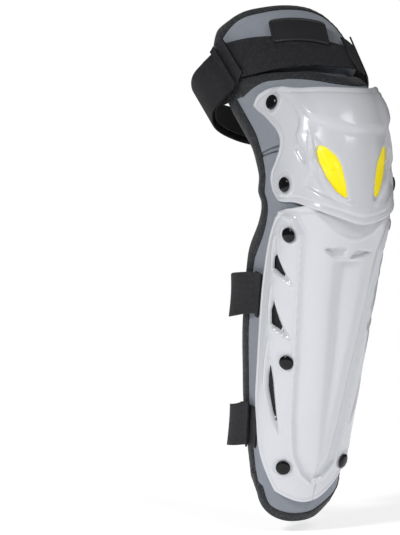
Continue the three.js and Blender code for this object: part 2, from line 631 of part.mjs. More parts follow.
// Frame on the path at distance s: point, way along it, outward direction and leg direction
function pathFrame(path, s) {
  const length = path.getLength();
  const at = (d) => {
    const p = path.getPointAt(Math.min(Math.max(d / length, 0), 1));
    return sectionPoint(p.z, p.x, p.y);
  };
  const point = at(s);
  const way = at(s + 1).sub(at(s - 1)).normalize();
  const angle = centreLine(path.getPointAt(Math.min(Math.max(s / length, 0), 1)).z)[2];
  const { x, z: t } = path.getPointAt(Math.min(Math.max(s / length, 0), 1));
  const taper = (legWidth(t + 1) - legWidth(t - 1)) / 2 * x / legWidth(t);
  const up = new THREE.Vector3(taper, Math.sin(angle), Math.cos(angle)).normalize();
  const out = new THREE.Vector3().crossVectors(way, up).normalize();
  return { point, way, up: out.clone().cross(way), out };
}

// Strip of webbing whose middle layer runs through [distance along the path, height off it],
// with a third value where it follows the straight frame at that distance instead of the path
function webbing(path, stations, width) {
  const spot = (d, height, rigid) => {
    const { point, way, up, out } = pathFrame(path, rigid ?? d);
    point.addScaledVector(way, rigid === undefined ? 0 : d - rigid);
    return [-0.5, 0.5].map((k) => point.clone().addScaledVector(out, height).addScaledVector(up, k * width));
  };
  const layer = (side) => stations.map(([d, height, rigid], i) => {
    const before = stations[Math.max(i - 1, 0)];
    const after = stations[Math.min(i + 1, stations.length - 1)];
    const [dd, dh] = [after[0] - before[0], after[1] - before[1]];
    const k = side * WEBBING / 2 / Math.hypot(dd, dh);
    return spot(d - dh * k, height + dd * k, rigid);
  });
  return wall(layer(1), layer(-1), true);
}

// Stations of a straight run, and of a half turn round a bar followed by the sewn-back end
function run(from, to, steps, height) {
  return Array.from({ length: steps + 1 }, (_, i) => [from + (to - from) * i / steps, height]);
}
function foldRound(barAt, height, radius, direction, rigid) {
  const turn = [-60, -30, 0, 30, 60].map((angle) => [barAt + direction * radius * Math.cos(angle * DEG),
    height + radius + radius * Math.sin(angle * DEG)]);
  const sewnBack = [barAt - direction * FOLD_BACK, height + 2 * radius];
  const stations = [[barAt, height], ...turn, [barAt, height + 2 * radius]];
  return [...stations.map((station) => [...station, rigid]), sewnBack];
}

// D-shaped ring, its straight bar across the strap
function ringShape(width) {
  const half = width / 2 + RING_WIRE;
  const path = new THREE.CatmullRomCurve3([[0, -half], [0, 0], [0, half], [RING_DEPTH * 0.6, half * 0.85],
    [RING_DEPTH, half * 0.4], [RING_DEPTH, -half * 0.4], [RING_DEPTH * 0.6, -half * 0.85]]
    .map(([x, y]) => new THREE.Vector3(x, y, 0)), true, 'centripetal');
  const steps = 16;
  const sections = path.getSpacedPoints(steps).slice(0, -1).map((p, i) => {
    const way = path.getTangentAt(i / steps);
    const side = new THREE.Vector3(way.y, -way.x, 0);
    const corner = (k) => p.clone().addScaledVector(side, RING_WIRE / 2 * Math.cos(k * 60 * DEG))
      .add(new THREE.Vector3(0, 0, RING_WIRE / 2 * Math.sin(k * 60 * DEG)));
    return Array.from({ length: 6 }, (_, k) => corner(k));
  });
  return bar(sections, true);
}

// Hook: a rounded triangle whose wide end has a slot for the band
function hookShape(width) {
  const half = width / 2 + 1;
  const shape = new THREE.Shape();
  shape.moveTo(0, half - 4);
  shape.quadraticCurveTo(0, half, 4, half);
  shape.lineTo(9, half);
  shape.quadraticCurveTo(HOOK_LENGTH * 0.6, half * 0.9, HOOK_LENGTH, 4);
  shape.quadraticCurveTo(HOOK_LENGTH + 2, 0, HOOK_LENGTH, -4);
  shape.quadraticCurveTo(HOOK_LENGTH * 0.6, -half * 0.9, 9, -half);
  shape.lineTo(4, -half);
  shape.quadraticCurveTo(0, -half, 0, 4 - half);
  const settings = { depth: HOOK_THICKNESS, bevelEnabled: false, curveSegments: 4 };
  const plate = new THREE.ExtrudeGeometry(shape, settings);
  plate.translate(0, 0, -HOOK_THICKNESS / 2);
  const claw = new THREE.BoxGeometry(HOOK_CLAW, width / 3, HOOK_THICKNESS * 1.5);
  claw.translate(hookReach + RING_WIRE / 2 + CLEARANCE + HOOK_CLAW / 2, 0, -HOOK_THICKNESS * 0.9);
  const slot = new THREE.BoxGeometry(HOOK_SLOT, 2 * half - 8, 2 * HOOK_THICKNESS);
  slot.translate(HOOK_BAR + HOOK_SLOT / 2, 0, 0);
  return fromManifold(toManifold(plate).subtract(toManifold(slot)).add(toManifold(claw)));
}

// Places a rigid piece on the path: x along it (forwards or backwards), y up the leg, z outwards
function seatOnPath(mesh, path, s, height, forwards) {
  const { point, way, up, out } = pathFrame(path, s);
  const x = way.clone().multiplyScalar(forwards);
  const y = out.clone().cross(x);
  point.addScaledVector(out, height);
  mesh.applyMatrix4(new THREE.Matrix4().makeBasis(x, y, out).setPosition(point));
}

// The band's inner end lies on a tab on the pad, and its other end folds round the hook
function addStrap(name, path, strapWidth, tabLength) {
  const width = strapWidth + 2 * BAND_MARGIN;
  const length = path.getLength();
  const tabTurn = RING_WIRE / 2 + CLEARANCE + WEBBING / 2;
  const ringHeight = WEBBING / 2 + tabTurn;
  const flatTab = run(0, tabLength, 6, WEBBING / 2).slice(0, -1);
  const outerTab = [...flatTab, ...foldRound(tabLength, WEBBING / 2, tabTurn, 1, tabLength)];
  addPiece(name + '_outer_tab', webbing(path, outerTab, width - 2 * RING_WIRE), BLACK_TAPE);
  const ring = addPiece(name + '_ring', ringShape(width - 2 * RING_WIRE), BLACK_PLASTIC);
  seatOnPath(ring, path, tabLength, ringHeight, 1);
  const hookBase = tabLength + RING_DEPTH + hookReach;
  const hookHeight = ringHeight + (RING_WIRE + HOOK_THICKNESS) / 2 + CLEARANCE;
  seatOnPath(addPiece(name + '_hook', hookShape(width), BLACK_PLASTIC), path, hookBase, hookHeight, -1);
  const bandTurn = Math.hypot(HOOK_BAR, HOOK_THICKNESS) / 2 + CLEARANCE + WEBBING / 2;
  const overTab = 1.5 * WEBBING + 2 * CLEARANCE;
  const barAt = hookBase - HOOK_BAR / 2;
  const bandEnd = length - INNER_TAB_BARE;
  const fold = foldRound(barAt, hookHeight - bandTurn, bandTurn, -1, hookBase);
  const band = [...run(bandEnd, barAt + FOLD_EASE, 16, overTab), ...fold];
  addPiece(name + '_band', webbing(path, band, strapWidth), BLACK_TAPE);
  const innerTab = run(length, bandEnd - FOLD_BACK, 4, WEBBING / 2);
  addPiece(name + '_inner_tab', webbing(path, innerTab, strapWidth - 2), BLACK_TAPE);
}

const CALF_STATIONS = { calf_upper: -0.345, calf_lower: -0.79 };
const THIGH_STATIONS = [0.6, 0.73];  // outer and inner end
const calfWidth = legWidth(plateReach(CALF_STATIONS.calf_upper));
const onPad = PAD_THICKNESS + 2 * CLEARANCE;
const calfSeats = [onPad, onPad];
Object.entries(CALF_STATIONS).forEach(([name, share]) => {
  const station = plateReach(share);
  const scale = legWidth(station) / calfWidth;
  const back = STRAP_BACK * scale;
  const halfWidth = STRAP_HALF_WIDTH * scale;
  const path = strapPath(STRAPS[name], calfSeats, [station, station], halfWidth, back, STRAP_WIDTH);
  addStrap(name, path, STRAP_WIDTH, back * OUTER_TABS[name]);
});
const onFrontBand = PAD_THICKNESS - 1 + TAPE_WRAP + WEBBING + 2 * CLEARANCE;
const thighSeats = [onFrontBand + CLEARANCE / 2, onFrontBand + 2 * CLEARANCE];
const thighPath = strapPath(STRAPS.thigh, thighSeats, THIGH_STATIONS.map(reach),
  THIGH_STRAP_HALF_WIDTH, THIGH_STRAP_BACK, THIGH_STRAP_WIDTH);
addStrap('thigh', thighPath, THIGH_STRAP_WIDTH, THIGH_STRAP_BACK * OUTER_TABS.thigh);

export default guard;
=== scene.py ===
# Motorcycle knee and shin guard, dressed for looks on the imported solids.
# The front faces -Y, the inner side of the leg is -X and the origin is the middle of the knee.
# Lengths are in millimetres until a mesh is made, which is in metres.
import math
import bpy
import numpy as np
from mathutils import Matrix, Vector


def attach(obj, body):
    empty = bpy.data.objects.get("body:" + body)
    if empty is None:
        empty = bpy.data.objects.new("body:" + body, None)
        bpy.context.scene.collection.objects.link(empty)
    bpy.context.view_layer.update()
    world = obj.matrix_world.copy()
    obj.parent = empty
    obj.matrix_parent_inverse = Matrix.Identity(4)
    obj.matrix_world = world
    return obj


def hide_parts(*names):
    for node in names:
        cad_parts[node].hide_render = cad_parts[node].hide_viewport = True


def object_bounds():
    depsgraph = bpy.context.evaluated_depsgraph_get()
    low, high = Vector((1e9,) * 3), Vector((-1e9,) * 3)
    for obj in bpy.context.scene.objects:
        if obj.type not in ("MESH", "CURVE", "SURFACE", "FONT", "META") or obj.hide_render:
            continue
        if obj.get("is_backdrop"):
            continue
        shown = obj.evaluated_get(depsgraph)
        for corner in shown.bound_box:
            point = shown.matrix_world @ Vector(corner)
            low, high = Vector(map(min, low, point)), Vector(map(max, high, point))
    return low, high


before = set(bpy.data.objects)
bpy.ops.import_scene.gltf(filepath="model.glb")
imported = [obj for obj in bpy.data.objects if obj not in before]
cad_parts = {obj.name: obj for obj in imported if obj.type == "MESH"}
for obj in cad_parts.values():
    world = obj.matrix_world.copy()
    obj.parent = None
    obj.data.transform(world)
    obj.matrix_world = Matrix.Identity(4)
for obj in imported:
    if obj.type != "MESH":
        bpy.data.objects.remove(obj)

cad_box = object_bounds()

# Camera: a long lens in front of the knee and to the leg's inner side, turned to the guard's middle.
# The shift keeps the guard at the right of the picture, where the photograph has it.
CAMERA_AZIMUTH = math.radians(-27)
CAMERA_DISTANCE = 2.5
back = Vector((math.sin(CAMERA_AZIMUTH), -math.cos(CAMERA_AZIMUTH), 0))
right = Vector((math.cos(CAMERA_AZIMUTH), math.sin(CAMERA_AZIMUTH), 0))
camera = bpy.data.objects.new("camera", bpy.data.cameras.new("camera"))
bpy.context.collection.objects.link(camera)
camera.location = back * CAMERA_DISTANCE
aim = right * -0.032 + Vector((0, 0, -0.097))
camera.rotation_euler = (aim - camera.location).to_track_quat("-Z", "Y").to_euler()
camera.data.sensor_fit = "HORIZONTAL"
camera.data.lens = 225
camera.data.shift_x = -0.245
camera.data.shift_y = -0.014
bpy.context.scene.camera = camera

# Studio: white surroundings, one large soft light in front on the inner side, one from above
# and a weak one on the outer side. The floor is a plain pale disc just below the foot end, and what
# lies behind it is as white as the floor.
bpy.context.scene.view_settings.view_transform = "Standard"
world = bpy.data.worlds.new("studio")
bpy.context.scene.world = world
world.use_nodes = True
world.node_tree.nodes["Background"].inputs["Color"].default_value = (1, 1, 1, 1)
world.node_tree.nodes["Background"].inputs["Strength"].default_value = 0.1
backdrop = world.node_tree.nodes.new("ShaderNodeBackground")
seen = world.node_tree.nodes.new("ShaderNodeLightPath")
either = world.node_tree.nodes.new("ShaderNodeMixShader")
world.node_tree.links.new(seen.outputs["Is Camera Ray"], either.inputs[0])
world.node_tree.links.new(world.node_tree.nodes["Background"].outputs[0], either.inputs[1])
world.node_tree.links.new(backdrop.outputs[0], either.inputs[2])
backdrop.inputs["Color"].default_value = (1, 1, 1, 1)
world.node_tree.links.new(either.outputs[0], world.node_tree.nodes["World Output"].inputs["Surface"])


def soft_light(name, place, watts, size):
    """A square lamp at a place in metres, turned towards the middle of the guard."""
    lamp = bpy.data.lights.new(name, "AREA")
    lamp.energy = watts
    lamp.size = size
    light = bpy.data.objects.new(name, lamp)
    light.location = place
    towards = Vector((0, 0.03, -0.1)) - light.location
    light.rotation_euler = towards.to_track_quat("-Z", "Y").to_euler()
    bpy.context.collection.objects.link(light)


soft_light("key", (-1.95, -0.95, 1.2), 31, 0.5)
soft_light("top", (0.35, -1.9, 1.5), 13, 0.9)
soft_light("side", (1.9, -0.9, 0.3), 1.5, 0.9)
soft_light("rear", (0.3, 2.0, 0.9), 8, 1.2)

bpy.ops.mesh.primitive_circle_add(vertices=96, radius=1.3, fill_type="NGON",
                                  location=(0, 0, cad_box[0][2] - 0.012))
floor = bpy.context.object
floor.name = "floor"
floor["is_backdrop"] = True


class Wire:
    """A node's output that can be used in sums: each operation adds its Math node."""

    def __init__(self, finish, socket):
        self.finish, self.socket = finish, socket

    def sum_node(self, operation, a, b):
        return self.finish.node("ShaderNodeMath", {"operation": operation}, {0: a, 1: b})

    def __add__(self, other):
        return self.sum_node("ADD", self, other)

    def __sub__(self, other):
        return self.sum_node("SUBTRACT", self, other)

    def __mul__(self, other):
        return self.sum_node("MULTIPLY", self, other)

    def __truediv__(self, other):
        return self.sum_node("DIVIDE", self, other)

    def __rsub__(self, other):
        return self.sum_node("SUBTRACT", other, self)

    __radd__ = __add__
    __rmul__ = __mul__

    def out(self, name):
        """Another output of the same node."""
        return Wire(self.finish, self.socket.node.outputs[name])


class Finish:
    """A node material on one shader, with a method that adds any node."""

    def __init__(self, name, shader="ShaderNodeBsdfPrincipled", **sockets):
        self.material = bpy.data.materials.new(name)
        self.material.use_nodes = True
        self.tree = self.material.node_tree
        self.tree.nodes.clear()
        self.shader = self.tree.nodes.new(shader)
        output = self.tree.nodes.new("ShaderNodeOutputMaterial")
        self.tree.links.new(self.shader.outputs[0], output.inputs["Surface"])
        self.place = self.node("ShaderNodeTexCoord", {}, {}).out("Object")
        self.set(self.shader, sockets)

    def set(self, node, sockets):
        for key, value in sockets.items():
            socket = node.inputs[key.replace("_", " ") if isinstance(key, str) else key]
            if isinstance(value, Wire):
                self.tree.links.new(value.socket, socket)
            else:
                socket.default_value = value

    def node(self, kind, settings, sockets):
        """Adds a node: its settings first, then the values or links of its sockets."""
        made = self.tree.nodes.new(kind)
        for key, value in settings.items():
            if key == "stops":
                for stop, (position, color) in zip(made.color_ramp.elements, value):
                    stop.position, stop.color = position, color
            else:
                setattr(made, key, value)
        self.set(made, sockets)
        visible = [socket for socket in made.outputs if socket.enabled]
        return Wire(self, visible[0])

    def smooth_step(self, value, low, high):
        """0 below low, 1 above high and a smooth rise between them."""
        sockets = {"Value": value, "From Min": low, "From Max": high}
        return self.node("ShaderNodeMapRange", {"interpolation_type": "SMOOTHSTEP"}, sockets)

    def noise(self, scale, detail=3.0, stretch=(1, 1, 1), source=None):
        """Even noise from 0 to 1, scale in waves per metre."""
        spot = self.node("ShaderNodeMapping", {}, {"Vector": source or self.place, "Scale": stretch})
        return self.node("ShaderNodeTexNoise", {}, {"Vector": spot, "Scale": scale, "Detail": detail})

    def blend(self, share, a, b):
        """Colour a where share is 0 and colour b where it is 1."""
        sockets = {"Factor": share, 6: a, 7: b}
        mixed = self.node("ShaderNodeMix", {"data_type": "RGBA"}, sockets)
        return Wire(self, mixed.socket.node.outputs[2])

    def relief(self, height, metres, strength=1.0):
        """A bump of that many metres where height is 1."""
        return self.node("ShaderNodeBump", {}, {"Height": height, "Distance": metres, "Strength": strength})


floor_finish = Finish("studio_white", Base_Color=(0.92, 0.92, 0.93, 1), Roughness=0.9,
                      Emission_Color=(1, 1, 1, 1), Emission_Strength=0.6)
speck = floor_finish.noise(3.0)
floor_finish.set(floor_finish.shader, {"Roughness": speck * 0.05 + 0.88})
floor.data.materials.append(floor_finish.material)

# Body pad: knitted grey fabric over nine millimetres of foam, moulded to the bent leg from above
# the knee to the ankle. It carries both shells, is sewn across beside the knee and bound all round.
SHIN_REACH, FLAP_REACH, PAD_RISE = 370.0, 191.0, 144.0
KNEE_HALF_WIDTH, KNEE_DEPTH = 47.0, 47.0
BEND_BELOW, BEND_ABOVE = 50.0, 66.0
SHIN_LEAN, THIGH_LEAN = math.radians(-15.5), math.radians(50)
SIDE_DEPTH, SIDE_FLARE = 70.0, 8.0
BEND_RATE = (THIGH_LEAN - SHIN_LEAN) / (BEND_BELOW + BEND_ABOVE)
PAD_THICKNESS, TAPE_WIDTH, TAPE_WRAP, CLEARANCE = 9.0, 10.0, 0.9, 0.4
# Share of the reach, half width and depth of the leg as shares of the knee's
LEG_SECTIONS = np.array([
    [-1, 0.77, 0.47], [-0.82, 0.81, 0.51], [-0.55, 0.87, 0.62], [-0.26, 0.96, 0.75],
    [-0.11, 0.98, 0.89], [0, 1, 1], [0.31, 1.06, 1], [0.63, 1.21, 1.02], [1, 1.28, 1.02]])
PAD_EDGES = {
    "inner": [[-0.905, -104], [-0.73, -127], [-0.62, -135], [-0.51, -141], [-0.34, -142], [-0.28, -140],
              [-0.195, -129], [-0.15, -127], [-0.09, -134], [0, -131], [0.22, -130], [0.56, -125], [1, -119]],
    "outer": [[-0.88, 110], [-0.77, 130], [-0.68, 144], [-0.56, 156], [-0.45, 164], [-0.31, 173],
              [-0.25, 173], [-0.195, 168], [-0.157, 148], [-0.108, 128], [-0.03, 115], [0.1, 102],
              [0.43, 100], [0.7, 100], [0.92, 104]],
    "lower": [[-0.905, -104], [-0.946, -86], [-0.981, -58], [-0.997, -30], [-0.997, -5], [-0.989, 15],
              [-0.965, 37], [-0.946, 60], [-0.92, 92], [-0.88, 110]],
    "upper": [[1, -119], [0.86, -98], [0.73, -77], [0.625, -59], [0.52, -40], [0.445, -18], [0.41, 0],
              [0.417, 20], [0.48, 42], [0.57, 62], [0.695, 80], [0.92, 104]]}


def read_table(rows, column, x):
    """Smooth value of a column of a table at x: cubic pieces, each slope from the two neighbouring rows."""
    rows = np.asarray(rows, float)
    x = np.asarray(x, float)
    last = len(rows) - 1
    i = np.clip(np.searchsorted(rows[:, 0], x, side="right") - 1, 0, last - 1)
    before, after = np.clip(np.arange(last + 1) - 1, 0, last), np.clip(np.arange(last + 1) + 1, 0, last)
    slope = (rows[after, column] - rows[before, column]) / (rows[after, 0] - rows[before, 0])
    step = rows[i + 1, 0] - rows[i, 0]
    s = np.clip((x - rows[i, 0]) / step, -0.5, 1.5)
    return ((2 * s**3 - 3 * s**2 + 1) * rows[i, column] + (s**3 - 2 * s**2 + s) * step * slope[i]
            + (3 * s**2 - 2 * s**3) * rows[i + 1, column] + (s**3 - s**2) * step * slope[i + 1])


def ramp(x, low, high):
    """0 below low, 1 above high and a smooth rise between them."""
    s = np.clip((x - low) / (high - low), 0, 1)
    return s * s * (3 - 2 * s)


def bump(x, middle, spread):
    """A bell of height 1 at the middle."""
    return np.exp(-((x - middle) / spread) ** 2)


def leg_width(t):
    return KNEE_HALF_WIDTH * read_table(LEG_SECTIONS, 1, t / np.where(t < 0, SHIN_REACH, FLAP_REACH))


def leg_depth(t):
    return KNEE_DEPTH * read_table(LEG_SECTIONS, 2, t / np.where(t < 0, SHIN_REACH, FLAP_REACH))


def centre_line(t):
    """Depth, height and lean of the leg's line: a straight shin, an arc at the knee, a straight thigh."""
    def along(s):
        lean = SHIN_LEAN + BEND_RATE * (np.clip(s, -BEND_BELOW, BEND_ABOVE) + BEND_BELOW)
        below, above = np.minimum(s + BEND_BELOW, 0), np.maximum(s - BEND_ABOVE, 0)
        y = (math.cos(SHIN_LEAN) - np.cos(lean)) / BEND_RATE + below * math.sin(SHIN_LEAN)
        z = (np.sin(lean) - math.sin(SHIN_LEAN)) / BEND_RATE + below * math.cos(SHIN_LEAN)
        return y + above * math.sin(THIGH_LEAN), z + above * math.cos(THIGH_LEAN), lean
    y, z, lean = along(np.asarray(t, float))
    y0, z0, _ = along(np.zeros(1))
    return y - y0, z - z0, lean


def section_point(t, x, forward):
    """The point x across and forward of the leg's line, on the section at t."""
    y, z, lean = centre_line(t)
    return np.stack([x + 0 * y, y - forward * np.cos(lean), z + forward * np.sin(lean)], -1)


def on_leg(t, u, h):
    """Half an ellipse in front, straight flaring sides behind: t mm up the leg from the knee,
    u degrees round it from the front, h mm off it."""
    t, u, h = np.broadcast_arrays(*(np.asarray(a, float) for a in (t, u, h)))
    around = np.radians(np.minimum(np.abs(u), 90))
    past = np.maximum(np.abs(u) - 90, 0)
    x = np.sign(u) * ((leg_width(t) + h) * np.sin(around) + SIDE_FLARE * (past / 90) ** 1.5)
    forward = np.where(past > 0, -np.radians(past) * SIDE_DEPTH, (leg_depth(t) + h) * np.cos(around))
    return section_point(t, x, forward)


def smooth_line(points, count):
    """A centripetal curve through the points, read at count + 1 even distances along it."""
    p = np.asarray(points, float)
    if len(p) == 2:
        return p[0] + (p[1] - p[0]) * np.linspace(0, 1, count + 1)[:, None]
    p = np.vstack([2 * p[0] - p[1], p, 2 * p[-1] - p[-2]])
    pieces = []
    for a, b, c, d in zip(p, p[1:], p[2:], p[3:]):
        gaps = [max(math.dist(m, n) ** 0.5, 1e-4) for m, n in ((a, b), (b, c), (c, d))]
        v1 = ((b - a) / gaps[0] - (c - a) / (gaps[0] + gaps[1]) + (c - b) / gaps[1]) * gaps[1]
        v2 = ((c - b) / gaps[1] - (d - b) / (gaps[1] + gaps[2]) + (d - c) / gaps[2]) * gaps[1]
        s = np.linspace(0, 1, 24, endpoint=False)[:, None]
        pieces.append(b + v1 * s + (3 * (c - b) - 2 * v1 - v2) * s**2 + (2 * (b - c) + v1 + v2) * s**3)
    line = np.vstack([*pieces, p[-2:-1]])
    length = np.concatenate([[0], np.cumsum(np.linalg.norm(np.diff(line, axis=0), axis=1))])
    even = np.linspace(0, length[-1], count + 1)
    return np.stack([np.interp(even, length, line[:, k]) for k in range(line.shape[1])], -1)


def even_steps(count, crowding=0.0):
    """Shares from 0 to 1, closer together at both ends by the crowding."""
    s = np.linspace(0, 1, count + 1)
    return s - crowding * np.sin(2 * np.pi * s) / (2 * np.pi)


def fill_patch(edges, across, along, crowding=0.6):
    """Grid of (t, u) between four edges: the two blends across the patch less the blend of its corners.
    The lower and upper edges run from the inner to the outer side, the others from the lower end up."""
    fine = 600
    r, s = even_steps(across, crowding), even_steps(along, crowding)
    pick = lambda line, share: np.stack([np.interp(share * fine, np.arange(fine + 1), line[:, k]) for k in (0, 1)], -1)
    lower, upper = (pick(smooth_line(edges[side], fine), r)[None] for side in ("lower", "upper"))
    inner, outer = (pick(smooth_line(edges[side], fine), s)[:, None] for side in ("inner", "outer"))
    r, s = r[None, :, None], s[:, None, None]
    return ((1 - s) * lower + s * upper + (1 - r) * inner + r * outer
            - (1 - r) * (1 - s) * lower[:, :1] - r * (1 - s) * lower[:, -1:]
            - (1 - r) * s * upper[:, :1] - r * s * upper[:, -1:])


def loop_of(edges, counts):
    """The patch's outline as one closed line of (t, u), evenly spaced along each edge."""
    across, along = counts
    return np.vstack([smooth_line(edges["lower"], across)[:-1], smooth_line(edges["outer"], along)[:-1],
                      smooth_line(edges["upper"], across)[::-1][:-1], smooth_line(edges["inner"], along)[::-1][:-1]])


def flat_map(t, u):
    """The leg's surface laid out flat, in millimetres: distance round it and distance along it."""
    width = np.where(np.abs(u) < 90, np.radians(u) * leg_width(t),
                     np.sign(u) * (math.pi / 2 * leg_width(t) + np.radians(np.abs(u) - 90) * SIDE_DEPTH))
    return np.stack([width, t + 0 * u], -1)


def edge_distance(points, line):
    """Distance of every flat point from a closed flat line, and whether it is inside."""
    shape = points.shape[:-1]
    p = points.reshape(-1, 2)
    nearest = np.full(len(p), 1e9)
    inside = np.zeros(len(p), bool)
    for a, b in zip(line, np.roll(line, -1, axis=0)):
        way = b - a
        share = np.clip(((p - a) @ way) / max(way @ way, 1e-9), 0, 1)
        nearest = np.minimum(nearest, np.hypot(*(p - a - share[:, None] * way).T))
        crosses = (a[1] > p[:, 1]) != (b[1] > p[:, 1])
        rise = b[1] - a[1] if b[1] != a[1] else 1e-9
        inside ^= crosses & (p[:, 0] < a[0] + (p[:, 1] - a[1]) * way[0] / rise)
    return nearest.reshape(shape), inside.reshape(shape)


def make_mesh(name, points, faces, uv=None, smooth=True):
    """A mesh object at the origin from millimetre points and rows of corner numbers. The faces are turned
    outwards: the sum of the volumes between each face and the origin has to be positive."""
    mesh = bpy.data.meshes.new(name)
    points = np.asarray(points, float).reshape(-1, 3) / 1000
    faces = np.asarray(faces)
    a, b, c, d = (points[faces[:, k]] for k in range(4))
    if np.sum(a * np.cross(b, c)) + np.sum(a * np.cross(c, d)) < 0:
        faces = faces[:, ::-1]
    mesh.from_pydata(points.tolist(), [], faces.tolist())
    if uv is not None:
        layer = mesh.uv_layers.new(name="cloth")
        corners = np.empty(len(mesh.loops), int)
        mesh.loops.foreach_get("vertex_index", corners)
        layer.data.foreach_set("uv", (uv.reshape(-1, 2)[corners] / 10).ravel())
    mesh.polygons.foreach_set("use_smooth", [smooth] * len(mesh.polygons))
    mesh.update()
    made = bpy.data.objects.new(name, mesh)
    bpy.context.collection.objects.link(made)
    return made


def grid_faces(rows, columns, shift=0, flip=False):
    """Quads of a grid of points, row by row."""
    at = np.arange(rows * columns).reshape(rows, columns) + shift
    quads = np.stack([at[:-1, :-1], at[:-1, 1:], at[1:, 1:], at[1:, :-1]], -1).reshape(-1, 4)
    return quads[:, ::-1] if flip else quads


def rim_of(rows, columns):
    """Numbers of a grid's border points, once round."""
    at = np.arange(rows * columns).reshape(rows, columns)
    return np.concatenate([at[0, :-1], at[:-1, -1], at[-1, :0:-1], at[:0:-1, 0]])


def closed_sheet(name, top, bottom, uv):
    """A closed piece between two grids of points, with a wall round the border."""
    rows, columns = top.shape[:2]
    count = rows * columns
    rim = rim_of(rows, columns)
    after = np.roll(rim, -1)
    wall = np.stack([after, rim, rim + count, after + count], -1)
    faces = np.vstack([grid_faces(rows, columns), grid_faces(rows, columns, count, True), wall])
    points = np.concatenate([top.reshape(-1, 3), bottom.reshape(-1, 3)])
    return make_mesh(name, points, faces, np.concatenate([uv.reshape(-1, 2)] * 2))


def dress(piece, finish, node):
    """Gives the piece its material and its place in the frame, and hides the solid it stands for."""
    piece.data.materials.clear()
    piece.data.materials.append(finish.material)
    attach(piece, "root")
    if node:
        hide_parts(node)


def cloth_uv(finish):
    """The piece's own layout, one unit to the centimetre."""
    return finish.node("ShaderNodeUVMap", {"uv_map": "cloth"}, {})


knit = Finish("grey_knit", Sheen_Weight=0.25, Sheen_Roughness=0.5, Specular_IOR_Level=0.25)
cloth = cloth_uv(knit)
rows_of_loops = knit.node("ShaderNodeTexWave", {"bands_direction": "Y"},
                          {"Vector": cloth, "Scale": 3.2, "Distortion": 1.2, "Detail": 2.0})
mottle = knit.noise(160, 4.0)
cloud = knit.noise(14, 3.0)
tone = knit.blend(mottle * 0.6 + cloud * 0.4, (0.215, 0.235, 0.275, 1), (0.305, 0.33, 0.375, 1))
knit.set(knit.shader, {"Base Color": tone, "Roughness": mottle * 0.15 + 0.72,
                       "Normal": knit.relief(rows_of_loops * 0.5 + mottle, 0.0003, 0.5)})


def to_reach(edges, up, down):
    """The edges' shares turned into millimetres up or down the leg."""
    return {side: [[s * (up if s > 0 else down), u] for s, u in rows] for side, rows in edges.items()}


def seam_dip(points, line, width, depth):
    """A rounded valley along a flat line, of that width and depth."""
    nearest = np.full(points.shape[:-1], 1e9)
    for a, b in zip(line, line[1:]):
        way = b - a
        share = np.clip(((points - a) @ way) / (way @ way), 0, 1)
        nearest = np.minimum(nearest, np.linalg.norm(points - a - share[..., None] * way, axis=-1))
    return -depth * np.exp(-(nearest / width) ** 2)


def creases(flat, size):
    """Shallow soft folds: three slanting waves of uneven length multiplied together, size mm deep."""
    x, t = flat[..., 0], flat[..., 1]
    a = np.sin(0.11 * x + 0.31 * t + 2.0 * np.sin(0.02 * t))
    b = np.sin(-0.07 * x + 0.17 * t + 1.0 + 1.5 * np.sin(0.03 * x))
    return size * (0.6 * a * b + 0.4 * np.sin(0.05 * x + 0.47 * t) * b)


pad_edges = to_reach(PAD_EDGES, PAD_RISE, SHIN_REACH)
pad_loop = loop_of(pad_edges, (150, 260))
pad_line = flat_map(pad_loop[:, 0], pad_loop[:, 1])
patch = fill_patch(pad_edges, 96, 210)
t, u = patch[..., 0], patch[..., 1]
flat = flat_map(t, u)
reach_in, _ = edge_distance(flat, pad_line)
SEAMS = [[[26, -115], [16, -88], [13, -70]], [[16, 92], [12, 78], [10, 64]]]
knee_seams = [flat_map(*np.array(rows, float).T) for rows in SEAMS]
crown = 1 - ramp(reach_in, 0, 15)
beside_knee = bump(t, 14, 34) * ramp(np.abs(u), 62, 90)
top = PAD_THICKNESS - 0.1 - 3.4 * crown ** 2 + creases(flat, 0.35) * beside_knee * ramp(reach_in, 4, 16)
top += sum(seam_dip(flat, line, 3.0, 1.9) for line in knee_seams)
rest = 0.4 + 2.2 * crown ** 2
body_pad = closed_sheet("knee_pad_body", on_leg(t, u, top), on_leg(t, u, rest), flat)
dress(body_pad, knit, "body_pad")

# Body pad's binding: black woven tape folded over the pad's edge and sewn down with one row of
# stitches. It draws the foam in, so the edge is thinner than the rest.
TAPE_GAP, TAPE_STUFF = 0.15, 0.85


